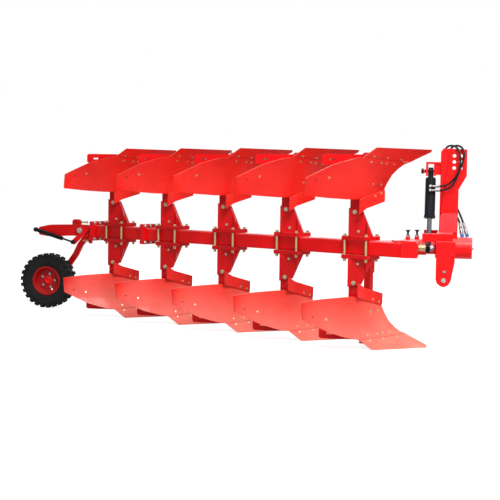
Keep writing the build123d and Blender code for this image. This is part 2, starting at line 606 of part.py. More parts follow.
def make_hub():
    """The hub with a raised cap on the near side, a flange behind the disc and a barrel on the axle."""
    bore = AXLE_R + SLIVER
    y0, y1, y2 = DISC_Y - 16, DISC_Y + DISC_THICK + SLIVER, STEM_Y[0] - 4
    return ring(((0, y0 + 7), (22, y0 + 7), (24, y0), (34, y0), (36, DISC_Y - 1), (HUB_R, DISC_Y), (HUB_R, y1), (92, y1),
                 (92, y1 + 12), (50, y1 + 12), (50, y2), (bore, y2), (bore, DISC_Y + 2), (0, DISC_Y + 2)))


def make_wheel_nut(i):
    angle = 2 * pi * (i + 0.2) / NUTS
    x, z = WHEEL_X + NUT_CIRCLE * sin(angle), WHEEL_Z + NUT_CIRCLE * cos(angle)
    nut = Pos(x, DISC_Y - SLIVER, z) * Rot(90, 0, 0) * extrude(RegularPolygon(14, 6), amount=12)
    return nut + bar_y(x, z, DISC_Y - 18, DISC_Y - 6, 7)


DAMPER_R = 22
DAMPER_ROD_R = 10
damper_a = (DAMPER_PIN_X, PIVOT_Z)
damper_b = (PIVOT_X + LEVER_END[0], PIVOT_Z + LEVER_END[1])
DAMPER_LENGTH = hypot(damper_b[0] - damper_a[0], damper_b[1] - damper_a[1])
DAMPER_DIP = degrees(atan2(damper_a[1] - damper_b[1], damper_b[0] - damper_a[0]))
DAMPER_STROKE = DAMPER_LENGTH - (PIVOT_X - hypot(*LEVER_END) - DAMPER_PIN_X)
DAMPER_BARREL = 315


def damp(shape):
    """Place a piece drawn along x from the origin onto the damper's rear pin."""
    return Pos(damper_a[0], DAMPER_Y, damper_a[1]) * Rot(0, DAMPER_DIP, 0) * shape


def make_damper_barrel():
    barrel = bar_x(0, 0, 26, DAMPER_BARREL, DAMPER_R) + bar_y(0, 0, -14, 14, 24) + bar_x(0, 0, 10, 40, 12)
    barrel -= bar_y(0, 0, -20, 20, 12 + SLIVER)
    return barrel - bar_x(0, 0, 70, DAMPER_BARREL + 1, DAMPER_ROD_R + SLIVER)


def make_damper_rod():
    rod = bar_x(0, 0, 180, DAMPER_LENGTH - 10, DAMPER_ROD_R)
    return rod + bar_y(DAMPER_LENGTH, 0, -14, 14, 22) + bar_y(DAMPER_LENGTH, 0, -22, LEVER_Y[0] - 1 - DAMPER_Y, 12)


parts["wheel_stop_bolts"] = [make_stop_bolt(*b) for b in STOP_BOLTS]
parts["wheel_nuts"] = [make_wheel_nut(i) for i in range(NUTS)]
parts["wheel_bracket"] = [make_wheel_bracket()]
parts["wheel_arm"] = [make_wheel_arm()]
parts["tyre"] = [make_tyre()]
parts["rim"] = [make_rim()]
parts["wheel_hub"] = [make_hub()]
parts["damper_barrel"] = [damp(make_damper_barrel())]
parts["damper_rod"] = [damp(make_damper_rod())]

# ---- parking stand, beside the beam at the first clamp ----
STAND_ALONG, STAND_LEFT = -10, 160
STAND_SIZE = 60
STAND_GRIP = 70             # how far the leg reaches into its sleeve
SLEEVE_WALL = 7
SLEEVE_LOW, SLEEVE_HIGH = AXIS_HEIGHT - 235, AXIS_HEIGHT + 55
SLEEVE_SIZE = STAND_SIZE + 2 * (SLEEVE_WALL + SLIVER)
FOOT = (110, 110, 10)
STAND_LONG = SLEEVE_LOW + STAND_GRIP - FOOT[2]


def stand_place(z):
    return beam_place(STAND_ALONG, z) * Pos(0, STAND_LEFT, 0)


def make_stand_sleeve():
    sleeve = Box(SLEEVE_SIZE, SLEEVE_SIZE, SLEEVE_HIGH - SLEEVE_LOW)
    sleeve -= Box(STAND_SIZE + 2 * SLIVER, STAND_SIZE + 2 * SLIVER, SLEEVE_HIGH - SLEEVE_LOW + 2)
    sleeve = stand_place((SLEEVE_LOW + SLEEVE_HIGH) / 2) * sleeve
    reach = STAND_LEFT - SLEEVE_SIZE / 2 - BEAM / 2
    for dz in (-42, 42):
        sleeve += beam_place(STAND_ALONG, AXIS_HEIGHT + dz) * Pos(0, BEAM / 2 + reach / 2, 0) * Box(60, reach, 14)
    return sleeve


def make_stand_leg():
    leg = stand_place(FOOT[2] + STAND_LONG / 2) * Box(STAND_SIZE, STAND_SIZE, STAND_LONG)
    return leg + stand_place(FOOT[2] / 2) * Box(*FOOT)


parts["stand_sleeve"] = [make_stand_sleeve()]
parts["stand_leg"] = [make_stand_leg()]

# ---- hoses from the turnover cylinder over the tower to their couplers on the bearing housing ----
COUPLER_LONG, COUPLER_R, CAP_LONG, CAP_R = 104, 14, 24, 16
HOSE_LEAD = 66
# each coupler's lower end, its direction up to the hose, and the hose's route back to the fitting
# points are x, y and height above the turnover axis, chosen by hand
COUPLER_SPOTS = {
    "front": ((930, 10), (-38, 24, 116)),
    "rear": ((886, 24), (-26, 34, 116)),
}
HOSE_ROUTES = {
    "front": ((790, -98, 600), (840, -100, 686), (872, -100, 768), (884, -96, 852), (846, -45, 914), (778, 49, 914),
              (744, 97, 853), (741, 101, 745), (750, 101, 612), (777, 98, 492), (816, 94, 388)),
    "rear": ((785, -115, 556), (830, -121, 650), (850, -119, 748), (844, -108, 840), (808, -60, 910), (732, 50, 916),
             (698, 98, 850), (693, 102, 735), (698, 102, 600), (722, 101, 478), (764, 98, 374), (810, 88, 296)),
}


def make_coupler(spot, along):
    """A quick coupler with its dust cap resting on the housing; also the point where the hose enters."""
    axis = Vector(*along).normalized()
    lift = CAP_R * abs(axis.X / axis.Z) + 2 * SLIVER
    low = Vector(*spot, AXIS_HEIGHT + (HOUSING_R ** 2 - spot[1] ** 2) ** 0.5 + lift)
    neck, top = low + axis * CAP_LONG, low + axis * COUPLER_LONG
    cap = extrude(Plane(origin=low, z_dir=axis) * Circle(CAP_R), amount=CAP_LONG)
    body = bar_between(neck, top, COUPLER_R) + bar_between(neck + axis * 6, neck + axis * 34, COUPLER_R + 3)
    return cap, body, top, axis


def make_hose(start, route, end, axis):
    """A hose along straight runs joined by the largest arcs; it leaves both its fittings straight."""
    middle = [Vector(x, y, AXIS_HEIGHT + up) for x, y, up in route]
    points = [start, start + Vector(HOSE_LEAD, 0, 0)] + middle + [end + axis * HOSE_LEAD, end]
    runs = [b - a for a, b in zip(points, points[1:])]
    radii = [0.45 * min(u.length, v.length) / tan(radians(u.get_angle(v) / 2)) for u, v in zip(runs, runs[1:])]
    path = FilletPolyline(points, radius=radii)
    tube = sweep(Plane(origin=path @ 0, z_dir=path % 0) * Circle(HOSE_R), path)
    print(f"hose length {path.length:.0f} tube/section {tube.volume / (pi * HOSE_R ** 2):.0f} radii", *(f"{r:.0f}" for r in radii))
    return tube


couplers, caps = [], []
for (side, route), z in zip(HOSE_ROUTES.items(), PORTS):
    cap, body, top, axis = make_coupler(*COUPLER_SPOTS[side])
    caps.append(cap)
    couplers.append(body)
    mouth = lean(Pos(FITTING_LONG + SLIVER, -PORT_OUT, z)).position
    parts[f"hose_{side}"] = [make_hose(mouth, route, top, axis)]
parts["couplers"] = couplers
parts["coupler_caps"] = caps

os.makedirs("parts", exist_ok=True)
whole = Compound(children=[s for solids in parts.values() for s in solids])
box = whole.bounding_box()
shift = Pos(-(box.min.X + box.max.X) / 2, -(box.min.Y + box.max.Y) / 2, -box.min.Z)
for label, point in (("origin", (0, 0, 0)), ("turnover", (0, 0, AXIS_HEIGHT)), ("cylinder_pin", (EYE_X, 0, CYL_PIN_Z)),
                     ("wheel_pivot", (PIVOT_X, 0, PIVOT_Z)), ("wheel_axle", (WHEEL_X, 0, WHEEL_Z)),
                     ("damper_pin", (DAMPER_PIN_X, DAMPER_Y, PIVOT_Z)), ("link_pin", (LINK_X, LINK_SPREAD / 2, LINK_Z))):
    moved = (shift * Pos(*point)).position
    print(f"{label} {moved.X:.3f} {moved.Y:.3f} {moved.Z:.3f}")
print(f"cylinder lean {CYL_LEAN:.3f} stroke {CYL_STROKE:.3f}")
print(f"damper dip {DAMPER_DIP:.3f} stroke {DAMPER_STROKE:.3f}")
for node, solids in parts.items():
    export_step(Compound(children=[shift * s for s in solids]), f"parts/{node}.step")
print("nodes", len(parts))
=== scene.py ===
# %% [markdown]
# # A reversible mouldboard plough
#
# A reversible plough carries two sets of bodies, each the mirror of the other, and turns over at
# the end of every run.  Its steelwork is already built to size and comes here as a frame, so that
# every hole and joint is where the real one is.  This file dresses that frame: it gives each steel
# piece its finish, and adds what is too small or too soft for the steelwork, which is bolts, nuts,
# pins, washers and hoses.

# %% The frame, and the places that everything else is measured from
import bpy
import json
from math import sin, cos, pi, radians, hypot
from mathutils import Matrix, Vector
from mathutils.bvhtree import BVHTree


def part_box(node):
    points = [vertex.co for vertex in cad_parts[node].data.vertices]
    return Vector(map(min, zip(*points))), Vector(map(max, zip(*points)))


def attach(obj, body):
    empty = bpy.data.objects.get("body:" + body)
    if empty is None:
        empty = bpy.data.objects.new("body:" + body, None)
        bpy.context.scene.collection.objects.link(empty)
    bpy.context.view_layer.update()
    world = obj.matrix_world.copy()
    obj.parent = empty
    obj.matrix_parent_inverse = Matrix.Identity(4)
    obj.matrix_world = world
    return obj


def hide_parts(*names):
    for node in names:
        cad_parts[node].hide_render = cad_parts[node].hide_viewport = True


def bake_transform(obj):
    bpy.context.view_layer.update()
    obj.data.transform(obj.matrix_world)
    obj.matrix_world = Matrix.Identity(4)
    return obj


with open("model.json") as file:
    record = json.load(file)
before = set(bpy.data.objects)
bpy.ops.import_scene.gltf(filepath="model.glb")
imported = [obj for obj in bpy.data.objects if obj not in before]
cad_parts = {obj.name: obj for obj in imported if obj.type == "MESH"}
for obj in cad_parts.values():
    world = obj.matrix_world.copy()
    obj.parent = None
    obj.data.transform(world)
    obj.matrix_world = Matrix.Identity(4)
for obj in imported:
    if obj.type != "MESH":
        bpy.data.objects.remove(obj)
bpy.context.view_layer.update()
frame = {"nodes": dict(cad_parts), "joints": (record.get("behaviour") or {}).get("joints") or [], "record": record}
scene = bpy.context.scene
nodes = frame["nodes"]
joints = {joint["name"]: joint for joint in frame["joints"]}
turnover = Vector(joints["turnover"]["pos_m"])
FURROWS = range(1, 6)
SIDES = (("low", 1), ("high", -1))    # lower bodies, then the mirrored upper ones
PLOUGH_BODIES = [(number, label, side) for number in FURROWS for label, side in SIDES]

# %% [markdown]
# ## The camera
#
# A plough shows most of itself from the side, a little in front of its middle and at chest height.
# A constraint could aim the camera at the beam, but then a level horizon is all it can give.  A
# matrix from three angles says exactly how the camera stands, with its slight tilt, and a long lens
# from ten metres away keeps the five bodies nearly the same size.

# %% The camera, placed ahead of, left of and above the turnover axis, in metres
CAMERA_FROM_TURNOVER = Vector((0.746, -9.890, 0.616))
CAMERA_YAW, CAMERA_DOWN, CAMERA_ROLL = radians(10.269), radians(3.914), radians(0.923)
CAMERA_LENS = 78.12    # millimetres
CAMERA_SEES = 200      # metres


def make_camera():
    data = bpy.data.cameras.new("camera")
    data.lens = CAMERA_LENS
    data.clip_end = CAMERA_SEES
    camera = bpy.data.objects.new("camera", data)
    scene.collection.objects.link(camera)
    level = cos(CAMERA_DOWN)
    ahead = Vector((-sin(CAMERA_YAW) * level, cos(CAMERA_YAW) * level, -sin(CAMERA_DOWN)))
    level_right = ahead.cross((0, 0, 1)).normalized()
    level_up = level_right.cross(ahead)
    right = level_right * cos(CAMERA_ROLL) + level_up * sin(CAMERA_ROLL)
    up = level_up * cos(CAMERA_ROLL) - level_right * sin(CAMERA_ROLL)
    turn = Matrix((right, up, -ahead)).transposed().to_4x4()
    camera.matrix_world = Matrix.Translation(turnover + CAMERA_FROM_TURNOVER) @ turn
    bpy.context.scene.camera = camera
    return camera


print("camera at", [round(v, 3) for v in make_camera().matrix_world.translation])

# %% [markdown]
# ## Lamps
#
# Gloss paint shows what is around it, so a small hard lamp would leave a white dot on every face.
# One broad lamp high on the right does most of the work, a weaker one in front lifts the lower
# boards, and one behind draws the edges.  Square area lamps are used because their size alone sets
# how soft they are.

# %% Three area lamps: a name, a place, what it is aimed at, its size in metres and its power in watts
LAMPS = (
    ("key_lamp", (3.6, -5.2, 7.2), (0, 0, 0.8), 3.2, 880),
    ("fill_lamp", (5.0, -8.5, 1.6), (-0.5, 0, 0.9), 4.0, 140),
    ("back_lamp", (1.0, 6.5, 5.0), (0, 0, 0.8), 5.0, 260),
)


def area_lamp(name, place, target, size, watts):
    data = bpy.data.lights.new(name, "AREA")
    data.energy, data.size = watts, size
    lamp = bpy.data.objects.new(name, data)
    lamp.location = place
    lamp.rotation_euler = (Vector(target) - Vector(place)).to_track_quat("-Z", "Y").to_euler()
    scene.collection.objects.link(lamp)


for lamp in LAMPS:
    area_lamp(*lamp)
scene.view_settings.view_transform = "Standard"
print("lamps", [lamp[0] for lamp in LAMPS])

# %% [markdown]
# ## World and floor
#
# The world stands for the open sky, and it does two jobs.  It lights the plough with a weak,
# slightly blue light, and a Light Path node swaps that for plain white where the camera or a glossy
# face looks at it.  More light could whiten the backdrop too, but it would bleach the paint.

# %% Shader nodes with their settings, and the world
WHITE = (1, 1, 1, 1)
SKY_COLOR, SKY_STRENGTH = (0.93, 0.96, 1.0, 1), 0.42


def add_node(tree, kind, settings=None, group=None):
    """A shader node of some kind, or one that holds a group, with the named inputs set."""
    node = tree.nodes.new("ShaderNode" + kind)
    if group:
        node.node_tree = group
    for label, value in (settings or {}).items():
        node.inputs[label].default_value = value
    return node


def wire(tree, *pairs):
    """A link for each pair of an output and an input."""
    for source, target in pairs:
        tree.links.new(source, target)


def make_world():
    world = bpy.data.worlds.new("world")
    scene.world = world
    world.use_nodes = True
    tree = world.node_tree
    tree.nodes.clear()
    sky = add_node(tree, "Background", {"Color": SKY_COLOR, "Strength": SKY_STRENGTH})
    backdrop = add_node(tree, "Background", {"Color": WHITE, "Strength": 1.0})
    seen = add_node(tree, "LightPath")
    either = add_node(tree, "Math")
    either.operation = "MAXIMUM"
    mix = add_node(tree, "MixShader")
    out = add_node(tree, "OutputWorld")
    wire(tree,
         (seen.outputs["Is Camera Ray"], either.inputs[0]),
         (seen.outputs["Is Glossy Ray"], either.inputs[1]),
         (either.outputs[0], mix.inputs[0]),
         (sky.outputs[0], mix.inputs[1]),
         (backdrop.outputs[0], mix.inputs[2]),
         (mix.outputs[0], out.inputs[0]))
    return world


print("world", make_world().name, "strength", SKY_STRENGTH)

# %% [markdown]
# The floor is plain and pale.  A truly white one would throw its light up under the boards.  So it
# is nearly white only to the camera, where a glow is added to a dull grey that still takes the
# plough's shadow, and to every other ray it is a middling grey.

# %% The floor
FLOOR_REACH = 60          # metres each way
FLOOR_SHADOWED = 0.40     # the grey that takes the shadow, under the glow
FLOOR_GLOW = 0.84
FLOOR_BOUNCE = 0.62       # the grey that lights the plough from below


def grey(value):
    return (value, value, value, 1)


def make_floor():
    reach = FLOOR_REACH
    corners = [(-reach, -reach, 0), (reach, -reach, 0), (reach, reach, 0), (-reach, reach, 0)]
    mesh = bpy.data.meshes.new("floor")
    mesh.from_pydata(corners, [], [(0, 1, 2, 3)])
    floor = bpy.data.objects.new("floor", mesh)
    scene.collection.objects.link(floor)
    material = bpy.data.materials.new("floor")
    material.use_nodes = True
    tree = material.node_tree
    tree.nodes.clear()
    dull = add_node(tree, "BsdfDiffuse", {"Color": grey(FLOOR_SHADOWED)})
    glow = add_node(tree, "Emission", {"Strength": FLOOR_GLOW})
    bounce = add_node(tree, "BsdfDiffuse", {"Color": grey(FLOOR_BOUNCE)})
    seen = add_node(tree, "LightPath")
    both = add_node(tree, "AddShader")
    mix = add_node(tree, "MixShader")
    out = add_node(tree, "OutputMaterial")
    wire(tree,
         (dull.outputs[0], both.inputs[0]),
         (glow.outputs[0], both.inputs[1]),
         (seen.outputs["Is Camera Ray"], mix.inputs[0]),
         (bounce.outputs[0], mix.inputs[1]),
         (both.outputs[0], mix.inputs[2]),
         (mix.outputs[0], out.inputs[0]))
    mesh.materials.append(material)


make_floor()
print("floor", 2 * FLOOR_REACH, "metres square")

# %% [markdown]
# ## Effects that the finishes share
#
# The paint is a thick red gloss over welded steel.  Three things keep it from looking like plastic:
# two tones that drift into each other, dust and a painted sheen on the faces that look up, and a
# faint orange-peel ripple.  Each could be drawn anew in every material, but as a node group it is
# built once, and a material only gives it numbers.

# %% A node group with named inputs and outputs
COLOR, FLOAT = "NodeSocketColor", "NodeSocketFloat"


def node_group(name, inputs, outputs):
    """A group with named inputs, each with its kind and value, and named outputs."""
    group = bpy.data.node_groups.new(name, "ShaderNodeTree")
    for label, kind, value in inputs:
        socket = group.interface.new_socket(label, in_out="INPUT", socket_type=kind)
        socket.default_value = value
    for label, kind in outputs:
        group.interface.new_socket(label, in_out="OUTPUT", socket_type=kind)
    return group, group.nodes.new("NodeGroupInput"), group.nodes.new("NodeGroupOutput")


def feed(tree, value, socket):
    """Set a socket to a number, or link another socket to it."""
    if isinstance(value, (int, float)):
        socket.default_value = value
    else:
        tree.links.new(value, socket)


print("helpers: node_group, feed")


# %% The nodes that the groups are made of
def noise(tree, scale, detail, rough):
    """Soft lumps in the piece's own space; scale is a number or a socket, in lumps per metre."""
    where = add_node(tree, "TexCoord")
    lumps = add_node(tree, "TexNoise", {"Detail": detail, "Roughness": rough})
    wire(tree, (where.outputs["Object"], lumps.inputs["Vector"]))
    feed(tree, scale, lumps.inputs["Scale"])
    return lumps.outputs["Fac"]


def math_node(tree, operation, a, b):
    node = add_node(tree, "Math")
    node.operation = operation
    feed(tree, a, node.inputs[0])
    feed(tree, b, node.inputs[1])
    return node.outputs[0]


def remap(tree, value, source, target):
    """The value, moved from one range of numbers to another."""
    node = add_node(tree, "MapRange", {"From Min": source[0], "From Max": source[1],
                                       "To Min": target[0], "To Max": target[1]})
    wire(tree, (value, node.inputs["Value"]))
    return node.outputs["Result"]


def mix_colors(tree, amount, a, b):
    node = add_node(tree, "Mix")
    node.data_type = "RGBA"
    wire(tree, (amount, node.inputs["Factor"]), (a, node.inputs["A"]), (b, node.inputs["B"]))
    return node.outputs["Result"]


print("helpers: noise, math_node, remap, mix_colors")

# %% [markdown]
# Sprayed paint is never one flat red, because it goes on thick and thin and the sun fades it.
# Large soft noise chooses between two close tones.  The noise is laid out in the piece's own space,
# so it keeps its scale on a long beam and on a small bolt, and needs no unwrapping.

# %% Node group: mottling
MOTTLE_DETAIL, MOTTLE_ROUGH = 4.0, 0.55
MOTTLE_BLEND = (0.35, 0.65)    # the noise values between which one tone gives way to the other
UNIT = (0.0, 1.0)


def make_mottle_group():
    """Two tones that drift into each other."""
    group, inside, outside = node_group(
        "mottle",
        (("Tone A", COLOR, (0.5, 0.5, 0.5, 1)),
         ("Tone B", COLOR, (0.4, 0.4, 0.4, 1)),
         ("Scale", FLOAT, 6.0)),
        (("Color", COLOR), ("Mask", FLOAT)))
    lumps = noise(group, inside.outputs["Scale"], MOTTLE_DETAIL, MOTTLE_ROUGH)
    mask = remap(group, lumps, MOTTLE_BLEND, UNIT)
    color = mix_colors(group, mask, inside.outputs["Tone A"], inside.outputs["Tone B"])
    wire(group, (color, outside.inputs["Color"]), (mask, outside.inputs["Mask"]))
    return group


mottle_group = make_mottle_group()
print("group", mottle_group.name)

# %% [markdown]
# Dust lies where rain and the road leave it, on faces that look up, and on the red paints its pale
# pink is also painted sheen, standing for the sky's reflection in the gloss.  Painting it by hand would
# need every mesh unwrapped, but the upward part of a face's normal already says how much the face
# looks up.  It is the piece's own normal, so the dust and sheen stay where they are when the plough
# turns over.  Noise breaks it into patches, and it dulls the gloss as it covers the colour.

# %% Node group: settled dust and painted sheen
DUST_AND_SHEEN_LEVEL = (0.02, 0.85)      # from a standing face to one that lies nearly flat
DUST_AND_SHEEN_SCALE, DUST_AND_SHEEN_DETAIL, DUST_AND_SHEEN_ROUGH = 5.0, 8.0, 0.7
DUST_AND_SHEEN_NOISE, DUST_AND_SHEEN_PATCHES = (0.3, 0.75), (0.62, 1.0)
DUST_DULLS = 0.5               # how much roughness full dust adds


def make_dust_and_sheen_group():
    """Dust, and on the red paints a painted sheen, on faces that look up, in soft patches."""
    group, inside, outside = node_group(
        "settled_dust_and_sheen",
        (("Color", COLOR, (0.5, 0.5, 0.5, 1)),
         ("Dust", COLOR, (0.45, 0.38, 0.3, 1)),
         ("Amount", FLOAT, 0.2),
         ("Roughness", FLOAT, 0.3)),
        (("Color", COLOR), ("Roughness", FLOAT)))
    facing = add_node(group, "TexCoord")
    parts = add_node(group, "SeparateXYZ")
    wire(group, (facing.outputs["Normal"], parts.inputs[0]))
    # faces that look up take more of the Dust colour: real dust, and on the red paints partly painted sheen
    level = remap(group, parts.outputs["Z"], DUST_AND_SHEEN_LEVEL, UNIT)
    patches = remap(group, noise(group, DUST_AND_SHEEN_SCALE, DUST_AND_SHEEN_DETAIL, DUST_AND_SHEEN_ROUGH), DUST_AND_SHEEN_NOISE, DUST_AND_SHEEN_PATCHES)
    lying = math_node(group, "MULTIPLY", level, patches)
    amount = math_node(group, "MULTIPLY", lying, inside.outputs["Amount"])
    color = mix_colors(group, amount, inside.outputs["Color"], inside.outputs["Dust"])
    dulled = math_node(group, "MULTIPLY", amount, DUST_DULLS)
    rough = math_node(group, "ADD", inside.outputs["Roughness"], dulled)
    wire(group, (color, outside.inputs["Color"]), (rough, outside.inputs["Roughness"]))
    return group


dust_and_sheen_group = make_dust_and_sheen_group()
print("group", dust_and_sheen_group.name)

# %% [markdown]
# Close up, paint has an orange-peel skin, zinc has crystals and rubber has grain.  All three are
# fine noise with a coarser one under it.  Moving real points that finely would need millions of
# them, so the group gives a height, and each material turns it into a bump of its own strength.

# %% Node group: grain
COARSE_SHARE = 0.12    # the coarse noise's scale, as a share of the fine one's
GRAIN_DETAIL, GRAIN_ROUGH = 2.0, 0.55


def make_grain_group():
    """Fine bumps, as a height."""
    group, inside, outside = node_group(
        "grain",
        (("Scale", FLOAT, 300.0), ("Coarse", FLOAT, 0.3)),
        (("Height", FLOAT),))
    fine = noise(group, inside.outputs["Scale"], GRAIN_DETAIL, GRAIN_ROUGH)
    coarse_scale = math_node(group, "MULTIPLY", inside.outputs["Scale"], COARSE_SHARE)
    coarse = noise(group, coarse_scale, GRAIN_DETAIL, GRAIN_ROUGH)
    coarse = math_node(group, "MULTIPLY", coarse, inside.outputs["Coarse"])
    wire(group, (math_node(group, "ADD", fine, coarse), outside.inputs["Height"]))
    return group


grain_group = make_grain_group()
print("group", grain_group.name)

# %% [markdown]
# ## Finishes
#
# A finish starts from one Principled shader.  Its fixed numbers are set on the shader itself, and
# the groups feed only what changes over the surface: colour, roughness and the bump's height.
# Steel plate has small round edges that catch the light.  Cutting them into every mesh would be
# slow, so a Bevel node rounds only the shading, by a radius in metres.

# %% A finish from the groups
COAT_ROUGHNESS = 0.08
BUMP_HIGH = 0.001      # metres
EDGE_SAMPLES = 4
ROAD_DUST = (0.45, 0.38, 0.3)


def make_finish(name, tones, scale, roughness, metallic=0.0, coat=0.0, gloss=0.5, dust_and_sheen=0.0,
                dust_and_sheen_color=ROAD_DUST, grain=300.0, coarse=0.3, bump=0.05, edge=0.0):
    """A material from two tones, a range of roughness, dust with painted sheen, grain and an edge's radius in
    metres.
    """
    material = bpy.data.materials.new(name)
    material.use_nodes = True
    tree = material.node_tree
    shader = tree.nodes["Principled BSDF"]
    shader.inputs["Metallic"].default_value = metallic
    shader.inputs["Coat Weight"].default_value = coat
    shader.inputs["Coat Roughness"].default_value = COAT_ROUGHNESS
    shader.inputs["Specular IOR Level"].default_value = gloss
    two_tones = {"Tone A": (*tones[0], 1), "Tone B": (*tones[1], 1), "Scale": scale}
    mottle = add_node(tree, "Group", two_tones, mottle_group)
    # the dust colour on up-facing faces: real dust, and on the red paints a pale pink that is painted sheen
    settled = add_node(tree, "Group", {"Amount": dust_and_sheen, "Dust": (*dust_and_sheen_color, 1)}, dust_and_sheen_group)
    skin = add_node(tree, "Group", {"Scale": grain, "Coarse": coarse}, grain_group)
    ripple = add_node(tree, "Bump", {"Strength": bump, "Distance": BUMP_HIGH})
    wire(tree,
         (mottle.outputs["Color"], settled.inputs["Color"]),
         (remap(tree, mottle.outputs["Mask"], UNIT, roughness), settled.inputs["Roughness"]),
         (settled.outputs["Color"], shader.inputs["Base Color"]),
         (settled.outputs["Roughness"], shader.inputs["Roughness"]),
         (skin.outputs["Height"], ripple.inputs["Height"]),
         (ripple.outputs["Normal"], shader.inputs["Normal"]))
    if edge:
        round_off = add_node(tree, "Bevel", {"Radius": edge})
        round_off.samples = EDGE_SAMPLES
        wire(tree, (round_off.outputs["Normal"], ripple.inputs["Normal"]))
    return material


finish = {}


def add_finishes(finishes):
    for name, facts in finishes.items():
        finish[name] = make_finish(name, **facts)
    print("finishes", sorted(finishes))


print("helpers: make_finish, add_finishes")

# %% [markdown]
# The frame's red is a cold, deep gloss.  The boards are a warmer red, and their faces that look up
# turn pale pink, which is partly dust and partly painted sheen, the sky's reflection in the gloss.
# The legs are a shade darker, which is painted shade from the upper boards above them, and the wheel's
# rim is darker still, which is painted shade from the tyre.  The doubler plates at the tower's foot
# are paler and dull, which is painted light, the sun on their faces.  One red for all would be
# simpler, but then the boards wouldn't part from the legs behind them.

# %% The paints
SPRAYED = dict(grain=260, bump=0.06)
PLATE_EDGE = 0.0035    # metres
add_finishes({
    # its pale pink on faces that look up is partly dust and partly painted sheen
    "red_paint": dict(
        tones=((0.80, 0.005, 0.006), (0.66, 0.003, 0.004)), scale=2.2, roughness=(0.28, 0.42),
        coat=0.05, gloss=0.15, dust_and_sheen=0.3, dust_and_sheen_color=(0.88, 0.38, 0.38), edge=PLATE_EDGE, **SPRAYED),
    # the boards: their strong pale pink on faces that look up is partly dust and partly painted sheen
    "board_paint_with_sheen": dict(
        tones=((0.76, 0.014, 0.007), (0.62, 0.008, 0.004)), scale=3.0, roughness=(0.3, 0.46),
        coat=0.1, gloss=0.25, dust_and_sheen=0.62, dust_and_sheen_color=(0.93, 0.40, 0.29), edge=PLATE_EDGE, **SPRAYED),
    # the legs: a darker copy of the frame's red, which is painted shade from the upper boards above them
    "shaded_leg_paint": dict(
        tones=((0.60, 0.004, 0.006), (0.48, 0.003, 0.004)), scale=2.6, roughness=(0.28, 0.42),
        coat=0.05, gloss=0.15, dust_and_sheen=0.3, dust_and_sheen_color=(0.80, 0.32, 0.32), edge=PLATE_EDGE, **SPRAYED),
    # the rim: a darker red, which is painted shade from the tyre
    "shaded_rim_paint": dict(
        tones=((0.42, 0.006, 0.008), (0.33, 0.004, 0.006)), scale=6, roughness=(0.34, 0.5),
        gloss=0.2, dust_and_sheen=0.1, dust_and_sheen_color=(0.5, 0.2, 0.16), edge=0.002, **SPRAYED),
    # the doublers: a paler copy of the red, which is painted light, the sun on their faces
    "sunlit_doubler_paint": dict(
        tones=((0.84, 0.055, 0.062), (0.74, 0.034, 0.040)), scale=9, roughness=(0.42, 0.6),
        gloss=0.2, dust_and_sheen=0.3, dust_and_sheen_color=(0.88, 0.38, 0.38), grain=300, bump=0.06, edge=PLATE_EDGE),
    "black_paint": dict(
        tones=((0.006, 0.006, 0.009), (0.012, 0.012, 0.017)), scale=8, roughness=(0.24, 0.38),
        gloss=0.06, dust_and_sheen=0.03, grain=400, bump=0.08, edge=0.002),
})

# %% [markdown]
# Zinc plating is a metal with small crystals.  One even grey would look like plastic close up, so
# its tones are mottled at a fine scale.  Clear zinc is grey and yellow zinc is golden, and both go
# darker on small pieces that have seen weather.  The rods are hard chrome, given a dark tone that is
# painted shade: it stands in for the dark surroundings that the chrome reflects.  The tyre and hoses
# are rubber, which takes dust in its grain.

# %% The metals, the rubbers and the plastic
PLATED = dict(dust_and_sheen=0.1, grain=900, bump=0.05)
add_finishes({
    "bright_zinc": dict(
        tones=((0.50, 0.50, 0.48), (0.32, 0.33, 0.32)), scale=60, metallic=1.0, roughness=(0.28, 0.5),
        edge=0.001, **PLATED),
    "fitting_zinc": dict(
        tones=((0.30, 0.29, 0.30), (0.19, 0.185, 0.19)), scale=60, metallic=1.0, roughness=(0.28, 0.5),
        edge=0.001, **PLATED),
    "bolt_zinc": dict(
        tones=((0.46, 0.42, 0.26), (0.33, 0.32, 0.22)), scale=45, metallic=0.95, roughness=(0.3, 0.5),
        edge=0.0005, **PLATED),
    "yellow_zinc": dict(
        tones=((0.60, 0.47, 0.22), (0.44, 0.38, 0.22)), scale=45, metallic=0.9, roughness=(0.3, 0.5),
        edge=0.001, **PLATED),
    # dark tones: painted shade standing in for the dark surroundings that the chrome reflects
    "chromed_rod": dict(
        tones=((0.20, 0.21, 0.23), (0.15, 0.155, 0.17)), scale=12, metallic=1.0, roughness=(0.12, 0.22),
        grain=900, bump=0.01),
    "tyre": dict(
        tones=((0.010, 0.010, 0.010), (0.018, 0.017, 0.016)), scale=14, roughness=(0.66, 0.88),
        gloss=0.12, dust_and_sheen=0.15, dust_and_sheen_color=(0.05, 0.042, 0.034), grain=500, coarse=0.8, bump=0.25,
        edge=0.003),
    "hose_rubber": dict(
        tones=((0.006, 0.006, 0.007), (0.012, 0.012, 0.013)), scale=20, roughness=(0.42, 0.6),
        gloss=0.15, dust_and_sheen=0.2, dust_and_sheen_color=(0.05, 0.045, 0.04), grain=600, bump=0.2),
    "coupler_plastic": dict(
        tones=((0.02, 0.16, 0.60), (0.02, 0.13, 0.50)), scale=20, roughness=(0.35, 0.5), grain=500,
        edge=0.001),
})

# %% [markdown]
# ## Which steel piece wears which finish
#
# The record that comes with the frame names a material for each of its pieces, and most take the
# finish of that name.  A list of all the pieces would do as well, but it would be long and soon out
# of date.  Those with a tone of their own are found by how their name starts, so that one word
# covers all five furrows.

# %% Finishes for the steel pieces
MATERIAL_OF = {part["node"]: part["material_slot"] for part in frame["record"]["subparts"]}
